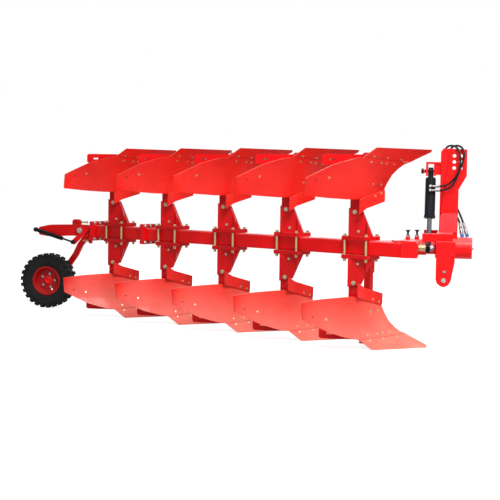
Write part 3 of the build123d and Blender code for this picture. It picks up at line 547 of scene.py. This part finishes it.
# the legs' and rim's own finishes are darker by painted shade, and the boards' carry painted sheen
OWN_FINISH = {"mouldboards": "board_paint_with_sheen", "shares": "board_paint_with_sheen", "trashboards": "board_paint_with_sheen",
              "shanks": "shaded_leg_paint", "leg_carrier": "shaded_leg_paint", "rim": "shaded_rim_paint",
              "cylinder_fittings": "fitting_zinc", "damper_rod": "black_paint"}

for node, thing in nodes.items():
    look = next((own for start, own in OWN_FINISH.items() if node.startswith(start)), MATERIAL_OF[node])
    thing.data.materials.clear()
    thing.data.materials.append(finish[look])
print("steel pieces", len(nodes))

# %% [markdown]
# The tower's foot is doubled by plates on its outside, and their outer faces get a paler red, which is
# painted light: the sun on those faces.  They are welded to the tower and belong to its mesh.  A second
# object over them would flicker where the faces coincide, so the tower gets a second material, and
# only the plates' outer faces use it.

# %% The tower's doubler plates, painted paler as painted light
DOUBLER_LOW, DOUBLER_HIGH = 0.141, 0.309    # metres above the turnover axis
SAME_PLANE = 0.0005                         # metres


def paint_light_on_doublers():
    """The outermost faces at the tower's foot get a paler finish of their own, painted light, in a second material
    slot.
    """
    tower = nodes["tower"]
    tower.data.materials.append(finish["sunlit_doubler_paint"])
    foot = [face for face in tower.data.polygons
            if DOUBLER_LOW < face.center.z - turnover.z < DOUBLER_HIGH]
    outermost = max(abs(face.center.y - turnover.y) for face in foot)
    painted = [face for face in foot if abs(face.center.y - turnover.y) > outermost - SAME_PLANE]
    for face in painted:
        face.material_index = 1
    return len(painted)


print("doubler faces", paint_light_on_doublers())

# %% [markdown]
# The arm's cover plate has a slot cut through it, and the real one reads as a dark line because its
# narrow walls lie in shade.  The red finish covers the arm's whole mesh, and a separate dark plug would
# hide that the slot is open, so the few faces inside it get a dark finish in the same way, which is
# painted shade.

# %% Painted shade on the walls of the slot in the arm's cover plate
SLOT_FROM_TURNOVER = Vector((0.374, -0.487, 0.072))
SLOT_REACH, SLOT_DEEP = 0.036, 0.0066    # metres from its middle, level and up or down


def paint_shade_in_slot():
    """The faces inside the slot get a dark finish, painted shade, in a second material slot."""
    arm = nodes["turnover_arm"]
    middle = turnover + SLOT_FROM_TURNOVER
    arm.data.materials.append(finish["black_paint"])
    inside = [face for face in arm.data.polygons
              if hypot(face.center.x - middle.x, face.center.y - middle.y) < SLOT_REACH
              and abs(face.center.z - middle.z) < SLOT_DEEP]
    for face in inside:
        face.material_index = 1
    return len(inside)


print("slot faces", paint_shade_in_slot())

# %% [markdown]
# ## Turned pieces
#
# Nearly every fastener is a profile turned about a line: a washer has many sides, a nut has six,
# and a ring's profile closes on itself.  Blender's own cylinders and its Screw modifier could make
# them, each with steps of its own.  One small lathe makes them all from points, and puts them
# straight where they belong.

# %% A lathe
MM = 0.001


def spot(x, y, up):
    """A place from millimetres ahead of the first clamp, left of the turnover axis and above it."""
    return turnover + Vector((x, y, up)) * MM


def turned(profile, sides, place, along, closed=False):
    """Points and faces of a profile of (radius, height) in millimetres, turned about a line."""
    along = Vector(along).normalized()
    across = along.orthogonal().normalized()
    if abs(along.z) < 0.5:    # so that a lying nut has its flats above and below
        across = along.cross((0, 0, 1)).normalized()
    other = along.cross(across)
    points, rings = [], []
    for radius, height in profile:
        centre = place + along * height * MM
        if radius == 0:
            rings.append([len(points)] * sides)
            points.append(centre)
        else:
            rings.append(list(range(len(points), len(points) + sides)))
            for i in range(sides):
                angle = 2 * pi * i / sides
                points.append(centre + (across * cos(angle) + other * sin(angle)) * radius * MM)
    if closed:
        rings.append(rings[0])
    faces = []
    for low, high in zip(rings, rings[1:]):
        for i in range(sides):
            k = (i + 1) % sides
            corners = list(dict.fromkeys((low[i], low[k], high[k], high[i])))
            if len(corners) > 2:    # two where both rings are single points
                faces.append(corners)
    return points, faces


print("the turnover axis beside the first clamp", [round(v, 3) for v in spot(0, 0, 0)])

# %% [markdown]
# A bolt with its washer and nut is several lumps that overlap, as the real ones touch.  Joining
# them with booleans would give nothing that shows, so their meshes are simply put together as one
# piece.  The piece rides on the body that it holds, and its finish goes by the record's material of
# that name.

# %% A piece from its lumps
SHARP = radians(32)    # faces that meet at more than this keep a crisp edge


def make_piece(name, body, look, lumps, own_finish=None):
    """One piece from several turned lumps, on its body and in its material slot."""
    points, faces = [], []
    for lump_points, lump_faces in lumps:
        start = len(points)
        points += lump_points
        faces += [[start + index for index in face] for face in lump_faces]
    mesh = bpy.data.meshes.new(name)
    mesh.from_pydata(points, [], faces)
    mesh.shade_smooth()
    mesh.set_sharp_from_angle(angle=SHARP)
    mesh.materials.append(finish[own_finish or look])
    piece = bpy.data.objects.new(name, mesh)
    scene.collection.objects.link(piece)
    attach(piece, body)
    return piece


print("a piece's edges are sharp from", round(SHARP * 180 / pi), "degrees")

# %% [markdown]
# A bolt's head is a hexagon with its top corners turned off, on a washer.  On the far side a nut
# sits with the bolt's end standing out of it.  These are the three shapes that the rest of the file
# uses, so each is a short function with its sizes in millimetres.

# %% A disc, a bolt's head and a nut
WASHER_THICK = 4.0
DISC_EDGE = 1.2                     # the chamfer on a thick disc
WASHER_SIDES = 28
SUNK = 0.2                          # how far a hexagon reaches into what it sits on
CORNERS_IN, CORNERS_DOWN = 2.6, 2   # the turned-off corners of a hexagon
END_OFF = 1.5                       # the chamfer on a bolt's end
SHANK_SIDES = 16


def disc(radius, thick, start=0.0):
    """The profile of a washer or a flat head, with its top edge chamfered."""
    edge = min(DISC_EDGE, thick / 3)
    top = start + thick
    return [(0, start), (radius, start), (radius, top - edge), (radius - edge, top), (0, top)]


def bolt_head(place, along, radius, height, washer=0.0, washer_thick=WASHER_THICK):
    """A hexagon on a washer, with a chamfered top."""
    lumps = []
    if washer:
        lumps.append(turned(disc(washer, washer_thick), WASHER_SIDES, place, along))
    base = washer_thick if washer else 0
    top = base + height
    profile = [(0, base - SUNK), (radius, base - SUNK), (radius, top - CORNERS_DOWN),
               (radius - CORNERS_IN, top), (0, top)]
    lumps.append(turned(profile, 6, place, along))
    return lumps


def nut(place, along, radius, height, bolt, stub, washer=0.0):
    """A hexagon nut on a washer, with the bolt's end standing out of it."""
    lumps = bolt_head(place, along, radius, height, washer)
    end = height + (WASHER_THICK if washer else 0) + stub
    profile = [(0, 0), (bolt, 0), (bolt, end - END_OFF), (bolt - END_OFF, end), (0, end)]
    lumps.append(turned(profile, SHANK_SIDES, place, along))
    return lumps


print("a bolt's head has", len(bolt_head(Vector(), (0, 0, 1), 12, 10)[0][1]), "faces")

# %% [markdown]
# ## Bolts on the boards
#
# A plough bolt has a flat round head, sunk in the face that the soil slides over, so only a bright
# disc shows.  Its place is known along the board and above the ground, but the board is curved, so
# typed depths would leave heads buried or floating.  Each head is dropped onto the board along a
# ray instead, and turns with the face that it lands on.

# %% Where each body's clamp is, and the rays that find a board's face
BOARD_TURN = radians(37)    # how far the boards turn from the direction of travel
ALONG = Vector((cos(BOARD_TURN), sin(BOARD_TURN), 0))
OUT = Vector((sin(BOARD_TURN), -cos(BOARD_TURN), 0))
RAY_START = 700             # millimetres out from the clamp, well clear of the board


def clamp(number):
    """The middle of a furrow's clamp, on the ground."""
    low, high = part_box(f"leg_carrier_{number}")
    return Vector(((low[0] + high[0]) / 2, (low[1] + high[1]) / 2, 0))


def surface(*names):
    """A tree of the faces of some nodes, for rays."""
    points, faces = [], []
    for name in names:
        thing = nodes[name]
        start = len(points)
        points += [thing.matrix_world @ vertex.co for vertex in thing.data.vertices]
        faces += [[start + index for index in polygon.vertices] for polygon in thing.data.polygons]
    return BVHTree.FromPolygons(points, faces)


def mirrored(up_from_ground, side):
    """A height in metres on a lower body, or its mirror on an upper one."""
    z = up_from_ground * MM
    return z if side == 1 else 2 * turnover.z - z


def board_point(number, side, p, z, tree):
    """The point and normal of a board's face, p along it from its clamp and z above the ground."""
    start = clamp(number) + (ALONG * p + OUT * RAY_START) * MM + Vector((0, 0, mirrored(z, side)))
    place, normal, _, _ = tree.ray_cast(start, -OUT)
    return place, (normal if normal.dot(OUT) > 0 else -normal)


print("clamps", [[round(v, 3) for v in clamp(number).xy] for number in FURROWS])

# %% [markdown]
# The share takes the most bolts, because it wears out first and is changed in the field.  The frog
# holds share and board, so those bolts have a nut behind it.  Near the board's tail one bolt holds
# the stay, and a hole beside it is left open for an extension; a thin black disc on the board's face
# stands for that open hole, which is painted shade.

# %% Plough bolts, from their places along the board and above the ground, in millimetres
SHARE_BOLTS = ((-43, 126), (62, 131), (116, 135), (194, 141), (249, 98), (-34, 78), (104, 88))
BOARD_BOLTS = ((39, 314), (132, 318))
TAIL_BOLT, TAIL_HOLE = (-413, 265), (-535, 291)
TRASH_BOLTS = ((77, 419), (147, 396))
PLOUGH_BOLTS = SHARE_BOLTS + BOARD_BOLTS + (TAIL_BOLT,) + TRASH_BOLTS
HEAD = [(0, -2), (10, -2), (10, 0.6), (9, 1.3), (3, 1.6), (0, 1.6)]
# a thin black disc on the board's face, which is painted shade where the open hole is
HOLE_SHADE_DISC = [(0, 0.1), (6.5, 0.1), (6.5, 0.5), (0, 0.5)]
HEAD_SIDES = 20
BOARD_THICK, FROG_THICK, NUT_GAP = 12, 12.6, 0.4
FROG_NUT = dict(radius=12, height=10, bolt=6, stub=6)


def make_board_bolts(number, label, side):
    hand = "right" if side == 1 else "left"
    tree = surface(f"mouldboards_{number}", f"shares_{hand}", f"trashboards_{hand}")
    heads, nuts = [], []
    for p, z in PLOUGH_BOLTS:
        place, normal = board_point(number, side, p, z, tree)
        heads.append(turned(HEAD, HEAD_SIDES, place, normal))
        if (p, z) in SHARE_BOLTS + BOARD_BOLTS:
            behind = BOARD_THICK + FROG_THICK + NUT_GAP
            nuts += nut(place - OUT * behind * MM, -normal, **FROG_NUT)
    where = f"{label}_{number}"
    make_piece(f"plough_bolts_{where}", "plough_frame", "bright_zinc", heads + nuts, "bolt_zinc")
    # the open hole at the tail is a black disc of painted shade on the face
    place, normal = board_point(number, side, *TAIL_HOLE, tree)
    hole = turned(HOLE_SHADE_DISC, HEAD_SIDES, place, normal)
    make_piece(f"tail_hole_shade_{where}", "plough_frame", "black_paint", [hole])


for plough_body in PLOUGH_BODIES:
    make_board_bolts(*plough_body)
print("plough bolts", len(PLOUGH_BODIES) * len(PLOUGH_BOLTS))

# %% [markdown]
# ## Bolts through the legs, clamps and flanges
#
# Each leg hangs between two plates on a thick bolt and a thin one.  The thin one shears when the
# share meets a stone, and the leg then swings back about the thick one.  Both go right through, so
# they are built from the outer face of one plate to the outer face of the other, with a head, a nut
# and the shank between.

# %% Leg bolts
PLATE_RIGHT, PLATE_LEFT = -85.3, -20.7    # the plates' outer faces, left of the clamp
PLATE_TOP = -100                          # above the beam's axis, on a lower body
LEG_BOLT_STUB = 8
# ahead of the clamp and above the axis; then hexagon, head's height, bolt and washer
LEG_BOLTS = (
    ((-51, PLATE_TOP - 213), 17, 13, 11, 20),
    ((-16, PLATE_TOP - 42), 11.5, 8, 6, 13),
)


def make_leg_bolts(number, label, side):
    centre = clamp(number)
    through = PLATE_LEFT - PLATE_RIGHT
    lumps = []
    for (x, up), hexagon, head, bolt, washer in LEG_BOLTS:
        level = Vector((0, 0, turnover.z + side * up * MM))
        right = centre + Vector((x, PLATE_RIGHT, 0)) * MM + level
        left = centre + Vector((x, PLATE_LEFT, 0)) * MM + level
        lumps += bolt_head(right, (0, -1, 0), hexagon, head, washer)
        lumps += nut(left, (0, 1, 0), hexagon, head, bolt, LEG_BOLT_STUB, washer)
        shank = [(0, 0), (bolt, 0), (bolt, through), (0, through)]
        lumps.append(turned(shank, SHANK_SIDES, right, (0, 1, 0)))
    make_piece(f"leg_bolts_{label}_{number}", "plough_frame", "bright_zinc", lumps, "bolt_zinc")


for plough_body in PLOUGH_BODIES:
    make_leg_bolts(*plough_body)
print("leg bolts", len(PLOUGH_BODIES) * len(LEG_BOLTS))

# %% [markdown]
# The landside slides along the furrow's wall, so its bolts are sunk as the boards' are.  Rays could
# find its face too, but it is flat and looks straight to the left, so one number says where it is.

# %% Flush bolts that hold each landside to its frog
LANDSIDE_FACE, LANDSIDE_MIDDLE = -22.7, 104    # left of the clamp, and above the ground
LANDSIDE_BOLTS = (-95, -165)                   # ahead of the clamp


def make_landside_bolts(number, label, side):
    lumps = []
    for x in LANDSIDE_BOLTS:
        level = Vector((0, 0, mirrored(LANDSIDE_MIDDLE, side)))
        place = clamp(number) + Vector((x, LANDSIDE_FACE, 0)) * MM + level
        lumps.append(turned(HEAD, HEAD_SIDES, place, (0, 1, 0)))
    make_piece(f"landside_bolts_{label}_{number}", "plough_frame", "bright_zinc", lumps, "bolt_zinc")


for plough_body in PLOUGH_BODIES:
    make_landside_bolts(*plough_body)
print("landside bolts", len(PLOUGH_BODIES) * len(LANDSIDE_BOLTS))

# %% [markdown]
# Four long bolts at each furrow pull the clamp's plates onto the beam, with a yellow zinc nut above
# and below.  The steelwork has the bolts, and this adds the nuts.  The beam runs back and to the
# left, so places in x and y would be hard to read.  Two unit vectors stand for its length and its
# width instead.

# %% Nuts on the clamps' long bolts
BEAM_ANGLE = radians(28)
AHEAD = Vector((cos(BEAM_ANGLE), -sin(BEAM_ANGLE), 0))
LEFT = Vector((sin(BEAM_ANGLE), cos(BEAM_ANGLE), 0))
CLAMP_BOLTS = (111, 89)    # along the beam and across it, from the clamp's middle
CLAMP_FACE = 100           # outer face of a clamp plate, from the beam's centre
CLAMP_NUT = dict(radius=16, height=12, washer=18, washer_thick=3)


def make_clamp_nuts(number):
    lumps = []
    for ahead in (-1, 1):
        for left in (-1, 1):
            aside = AHEAD * ahead * CLAMP_BOLTS[0] + LEFT * left * CLAMP_BOLTS[1]
            place = clamp(number) + aside * MM
            for way in (-1, 1):
                seat = place + Vector((0, 0, turnover.z + way * CLAMP_FACE * MM))
                lumps += bolt_head(seat, (0, 0, way), **CLAMP_NUT)
    make_piece(f"clamp_nuts_{number}", "plough_frame", "yellow_zinc", lumps)


for number in FURROWS:
    make_clamp_nuts(number)
print("clamps with nuts", len(FURROWS))

# %% [markdown]
# The beam is made in lengths that are bolted end to end, so that a plough can be sold with more
# furrows or fewer.  Each joint is a pair of thick flanges with a row of bolts above the tube and
# one below it.  Heads are on the front flange, and nuts with the bolts' ends on the rear one.

# %% Bolts through the beam's two flanged joints
FLANGE_THICK = 26
FLANGE_BOLTS = [(across, up) for up in (-84, 84) for across in (-72, 0, 72)]
FLANGE_HEAD = dict(radius=15, height=10, washer=17, washer_thick=3)
FLANGE_NUT = dict(radius=15, height=13, bolt=9, stub=7, washer=17)


def make_flange_bolts(name, behind_first_clamp):
    centre = clamp(1) + Vector((0, 0, turnover.z)) - AHEAD * behind_first_clamp * MM
    lumps = []
    for across, up in FLANGE_BOLTS:
        place = centre + LEFT * across * MM + Vector((0, 0, up * MM))
        lumps += bolt_head(place + AHEAD * FLANGE_THICK * MM, AHEAD, **FLANGE_HEAD)
        lumps += nut(place - AHEAD * FLANGE_THICK * MM, -AHEAD, **FLANGE_NUT)
    make_piece(name, "plough_frame", "bright_zinc", lumps)


make_flange_bolts("joint_bolts", 2590)
make_flange_bolts("rear_flange_bolts", 3335)
print("flange bolts", 2 * len(FLANGE_BOLTS))

# %% [markdown]
# ## The arm and the headstock
#
# Two screws on top of the arm set how far the frame turns.  The steelwork has the screws, and each
# stands in a red boss with a zinc locknut on it.  The boss is welded on and the nut is not, so they
# are separate pieces with finishes of their own.

# %% Bosses and locknuts of the stop screws
ARM_TOP = 79
BOSS_RADIUS, BOSS_HIGH, BOSS_SIDES = 20, 24, 24
STOP_SCREWS = ((411, -255), (488, -190))    # ahead of the first clamp, and left of the turnover axis
LOCKNUT = dict(radius=17, height=15, washer=17, washer_thick=3)

for index, (x, y) in enumerate(STOP_SCREWS, 1):
    boss = turned(disc(BOSS_RADIUS, BOSS_HIGH), BOSS_SIDES, spot(x, y, ARM_TOP), (0, 0, 1))
    make_piece(f"stop_boss_{index}", "plough_frame", "red_paint", [boss])
    locknut = bolt_head(spot(x, y, ARM_TOP + BOSS_HIGH), (0, 0, 1), **LOCKNUT)
    make_piece(f"stop_locknut_{index}", "plough_frame", "bright_zinc", locknut)
print("stop screws", len(STOP_SCREWS))

# %% [markdown]
# The turnover cylinder's rod ends in a black iron eye on a thick pin, between a zinc sleeve on the
# arm and a castle nut in front.  The eye moves with the rod and the sleeve with the frame.  They
# are all round, so each is one turned profile along the direction of travel.

# %% The turnover cylinder's lower eye, its sleeve and nut, and the head of its upper pin
EYE_LEFT = -170                      # left of the turnover axis
LUG_BACK, HUB_FRONT, EYE_FRONT = 508.2, 567, 604    # ahead of the first clamp
PIN_BACK, PIN_UP = 526.5, 683        # the rear end of the cylinder's upper pin
RUNNING_GAP = 0.6                    # between the eye and the sleeve behind it
NUT_SEAT = 0.4                       # between the eye and the nut's washer
FORWARD, BACKWARD = (1, 0, 0), (-1, 0, 0)
EYE_SIDES, CROWN_SIDES, LUG_SIDES = 48, 12, 40
EYE = [(0, 0.4), (42.4, 0.4), (42.4, 35), (40.6, 36.8), (0, 36.8)]
CROWN = [(0, 24), (19, 24), (19, 32), (17, 34), (0, 34)]
LUG = [(0, 0), (29.4, 0), (29.4, 56.6), (27.6, 58.4), (0, 58.4)]

eye = turned(EYE, EYE_SIDES, spot(HUB_FRONT + RUNNING_GAP, EYE_LEFT, 0), FORWARD)
nut_seat = spot(EYE_FRONT + NUT_SEAT, EYE_LEFT, 0)
castle = bolt_head(nut_seat, FORWARD, radius=27, height=22, washer=32, washer_thick=3)
castle.append(turned(CROWN, CROWN_SIDES, nut_seat, FORWARD))
lug = turned(LUG, LUG_SIDES, spot(LUG_BACK, EYE_LEFT, 0), FORWARD)
pin_head = bolt_head(spot(PIN_BACK, 0, PIN_UP), BACKWARD, radius=25, height=16, washer=29)
pieces = [make_piece("rod_eye", "turn_rod", "black_paint", [eye]),
          make_piece("castle_nut", "turn_rod", "bright_zinc", castle, "fitting_zinc"),
          make_piece("cylinder_lug", "plough_frame", "yellow_zinc", [lug]),
          make_piece("cylinder_pin_head", "headstock", "black_paint", pin_head)]
print("on the cylinder", [piece.name for piece in pieces])

# %% [markdown]
# The tractor's lower links hang on two thick pins.  A round head stops each pin outside its
# bracket, and a spring ring, which is set at a slant so that a glove can catch it, holds its inner
# end.  The ring is a small circle turned about a larger one, so its profile closes on itself.

# %% Heads and rings of the lower link pins, and the nut of the drum's grease nipple
LINK_AHEAD, LINK_UP = 729, -255
HEAD_OUT, RING_OUT = 476, 344        # out from the turnover axis
HEAD_RADIUS, HEAD_THICK = 20, 5
RING_RADIUS, RING_WIRE, RING_STEPS = 27, 2.5, 8
RING_SLANT = 0.35, 0.5               # ahead and up, for each unit that its line goes outwards
PIN_HEAD_SIDES, RING_SIDES = 36, 28
DRUM_FRONT = 972.2
TURNS = [2 * pi * k / RING_STEPS for k in range(RING_STEPS)]
RING = [(RING_RADIUS + RING_WIRE * cos(turn), RING_WIRE * sin(turn)) for turn in TURNS]


def make_link_pin(label, way):
    plate = disc(HEAD_RADIUS, HEAD_THICK, start=-SUNK)
    head = turned(plate, PIN_HEAD_SIDES, spot(LINK_AHEAD, way * HEAD_OUT, LINK_UP), (0, way, 0))
    slant = (RING_SLANT[0], way, RING_SLANT[1])
    middle = spot(LINK_AHEAD, way * RING_OUT, LINK_UP)
    ring = turned(RING, RING_SIDES, middle, slant, closed=True)
    return make_piece(f"link_pin_head_{label}", "headstock", "bright_zinc", [head, ring])


nipple = bolt_head(spot(DRUM_FRONT, 0, 0), FORWARD, radius=12.9, height=15.6)
pieces = [make_link_pin("right", -1), make_link_pin("left", 1),
          make_piece("grease_nipple_nut", "headstock", "bright_zinc", nipple, "fitting_zinc")]
print("on the headstock", [piece.name for piece in pieces])

# %% [markdown]
# ## The depth wheel's fastenings
#
# The wheel's arm turns on a shaft with a big zinc cap, and its damper hangs on two black pins, one
# on the bracket and one on the arm's lever.  All three show as hexagons on the near side.  Their
# places follow from the joints and from the boxes of the steel pieces, so they stay on them if a
# size changes.

# %% Pivot cap and damper pins
NEAR = (0, -1, 0)
LEVER_FROM_PIVOT = (-70, 0, -125)    # millimetres from the arm's pivot to the damper's pin
DAMPER_NUT = dict(radius=13, height=8, washer=16, washer_thick=3)
pivot = Vector(joints["wheel_lift"]["pos_m"])
damper = Vector(joints["damper_swing"]["pos_m"])


def near_side(node, place):
    """The point on a node's near side that a pin at place comes out of."""
    return Vector((place.x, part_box(node)[0][1], place.z))


lever_end = pivot + Vector(LEVER_FROM_PIVOT) * MM
cap = bolt_head(near_side("wheel_arm", pivot), NEAR, radius=22, height=12, washer=30)
pieces = [make_piece("pivot_cap", "wheel_arm", "bright_zinc", cap),
          make_piece("damper_pin_nut", "plough_frame", "black_paint",
                     bolt_head(near_side("wheel_bracket", damper), NEAR, **DAMPER_NUT)),
          make_piece("lever_pin_nut", "damper_rod", "black_paint",
                     bolt_head(near_side("damper_rod", lever_end), NEAR, **DAMPER_NUT))]
print("on the wheel's arm", [piece.name for piece in pieces])

# %% [markdown]
# ## Hoses
#
# Two hydraulic hoses leave the cylinder's fittings, climb the tower's side, fold over its top and
# hang down behind it to the couplers that are parked on the bearing housing.  A hose is one smooth
# line with a constant section.  A chain of cylinders would show its joints, so it is a spline that
# a few points steer, swept with a circle.

# %% Routes, in millimetres ahead of the first clamp, left of the turnover axis and above it
HOSE_RADIUS = 9
HOSE_LEAD = 66    # the straight stretch at each end
HOSES = {
    "front": {
        "mouth": (654.3, -95.2, 549.0),
        "route": ((790, -98, 600), (840, -100, 686), (872, -100, 768), (884, -96, 852),
                  (846, -45, 914), (778, 49, 914), (744, 97, 853), (741, 101, 745), (750, 101, 612),
                  (777, 98, 492), (816, 94, 388)),
        "coupler": ((930, 10), (-38, 24, 116)),
    },
    "rear": {
        "mouth": (654.3, -104.1, 513.1),
        "route": ((785, -115, 556), (830, -121, 650), (850, -119, 748), (844, -108, 840),
                  (808, -60, 910), (732, 50, 916), (698, 98, 850), (693, 102, 735), (698, 102, 600),
                  (722, 101, 478), (764, 98, 374), (810, 88, 296)),
        "coupler": ((886, 24), (-26, 34, 116)),
    },
}
print("hose points", {side: len(facts["route"]) for side, facts in HOSES.items()})

# %% [markdown]
# Each hose ends in a quick coupler: a blue dust cap, a sleeve that slides back, a hexagon and the
# crimped ferrule that grips the hose.  The ribs on cap, sleeve and ferrule are what the eye looks
# for.  Bump can't change an outline, so they are real steps in the profile, worked out by one
# function.

# %% Couplers and their dust caps; profiles are (radius, height above the cap's end) in millimetres
COUPLER_LONG, CAP_RADIUS, HOUSING_RADIUS = 104, 16, 97
CAP_GAP = 0.6
COUPLER_SIDES, FERRULE_SIDES = 32, 28
RIB_START, RIB_END, VALLEY = 0.1, 0.62, 0.72    # shares of a step


def coupler_low(place, along):
    """Where a coupler's cap rests on the housing, and the coupler's direction, up to its hose."""
    axis = Vector(along).normalized()
    lift = CAP_RADIUS * abs(axis.x / axis.z) + CAP_GAP
    return Vector((*place, (HOUSING_RADIUS ** 2 - place[1] ** 2) ** 0.5 + lift)), axis


def ribbed(radius, deep, start, end, step):
    """A profile from start to end with a rib every step, as on a crimped ferrule or a grip."""
    profile = []
    for i in range(int((end - start) / step)):
        base = start + i * step
        valley = radius - deep
        profile += [(radius, base + RIB_START * step), (radius, base + RIB_END * step),
                    (valley, base + VALLEY * step), (valley, base + step)]
    return profile


SLEEVE = [(0, 24), (13, 24), (13, 29), (16.2, 30), (17, 31), (17, 37), (15.6, 38.4), (15.6, 41),
          *ribbed(17, 0.8, 42, 56, 3.5), (15.4, 58), (13.4, 59), (13.4, 84), (0, 84)]
HEXAGON = [(0, 80), (14.2, 80), (15.6, 81.4), (15.6, 94), (14.2, 95.4), (0, 95.4)]
COUPLER_FERRULE = [(0, 94), (11.5, 94), (12.6, 96), *ribbed(12.6, 0.9, 97, 127, 7.5), (10.2, 128),
                   (9.2, 129)]
CAP = [(0, 0), (14, 0), (15.6, 1.2), (16, 3), *ribbed(16, 0.9, 3.5, 20, 5.5), (16, 20.4), (16, 22.6),
       (14.4, 24), (13.2, 25), (0, 25)]


def make_coupler(side, low, axis):
    """A quick coupler and its dust cap, from the cap's end upwards."""
    place = spot(*low)
    lumps = [turned(SLEEVE, COUPLER_SIDES, place, axis), turned(HEXAGON, 6, place, axis),
             turned(COUPLER_FERRULE, FERRULE_SIDES, place, axis)]
    body = make_piece(f"coupler_{side}", "headstock", "bright_zinc", lumps)
    lump = turned(CAP, COUPLER_SIDES, place, axis)
    cap = make_piece(f"dust_cap_{side}", "headstock", "coupler_plastic", [lump])
    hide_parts("couplers")
    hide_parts("coupler_caps")
    return [body, cap]


print("coupler", COUPLER_LONG, "mm long, with", len(SLEEVE), "points in its sleeve")

# %% [markdown]
# A curve with a bevel is already a tube, but its line and its skin are wanted apart: the line gives
# the hose's real length, and the skin is wanted as a mesh.  So the same spline is turned into a mesh
# twice, once with no radius and once with the hose's.

# %% A smooth line through the route, as a mesh
CURVE_STEPS, ROUND_STEPS = 10, 5
CURVE_ORDER = 3    # set after the points, because a spline with none falls back to straight runs


def hose_curve(name, points, radius):
    """A NURBS spline that the points steer, with a round section."""
    data = bpy.data.curves.new(name, "CURVE")
    data.dimensions = "3D"
    data.resolution_u = CURVE_STEPS
    spline = data.splines.new("NURBS")
    spline.points.add(len(points) - 1)
    for point, place in zip(spline.points, points):
        point.co = (*place, 1)
    spline.order_u = CURVE_ORDER
    spline.use_endpoint_u = True
    data.bevel_depth = radius
    data.bevel_resolution = ROUND_STEPS
    data.use_fill_caps = True
    return bpy.data.objects.new(name, data)


def as_mesh(name, curve):
    """The mesh that a curve makes, and the curve is removed."""
    scene.collection.objects.link(curve)
    bpy.context.view_layer.update()
    evaluated = curve.evaluated_get(bpy.context.evaluated_depsgraph_get())
    mesh = bpy.data.meshes.new_from_object(evaluated)
    mesh.name = name
    bpy.data.objects.remove(curve)
    return mesh


print("a hose has", 2 * (ROUND_STEPS + 1), "sides")

# %% [markdown]
# The cylinder leans when the plough turns over, and takes the hoses' ends with it, while their
# couplers stay on the headstock.  A hose that rode on one body alone would tear off the other.  Here
# the hose's mesh rides on no body: its ferrule moves with the barrel, and its coupler and dust cap
# stay with the headstock.

# %% The hoses, their ferrules and their couplers
HOSE_FERRULE = [(9.2, -1), (11, 0), (12.6, 1.5), *ribbed(12.6, 0.9, 2, 18, 5.3), (10.2, 19), (9.2, 20)]


def make_hose(side, mouth, route, coupler):
    low, axis = coupler_low(*coupler)
    top = low + axis * COUPLER_LONG
    controls = [Vector(mouth), Vector(mouth) + Vector((HOSE_LEAD, 0, 0)), *(Vector(p) for p in route),
                top + axis * HOSE_LEAD, top]
    points = [spot(*point) for point in controls]
    line = as_mesh(f"hose_{side}_line", hose_curve("line", points, 0))
    path = [vertex.co.copy() for vertex in line.vertices]
    length = sum((b - a).length for a, b in zip(path, path[1:]))
    mesh = as_mesh(f"hose_{side}_tube", hose_curve("tube", points, HOSE_RADIUS * MM))
    mesh.materials.clear()
    mesh.materials.append(finish["hose_rubber"])
    mesh.shade_smooth()
    hose = bpy.data.objects.new(f"hydraulic_hose_{side}", mesh)
    scene.collection.objects.link(hose)
    start = points[0]
    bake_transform(hose)
    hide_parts(f"hose_{side}")
    ends = make_coupler(side, low, axis)
    ferrule = turned(HOSE_FERRULE, FERRULE_SIDES, start, FORWARD)
    make_piece(f"ferrule_{side}", "turn_barrel", "bright_zinc", [ferrule], "fitting_zinc")
    return length


for side, facts in HOSES.items():
    print("hose", side, "length", round(make_hose(side, **facts), 3))
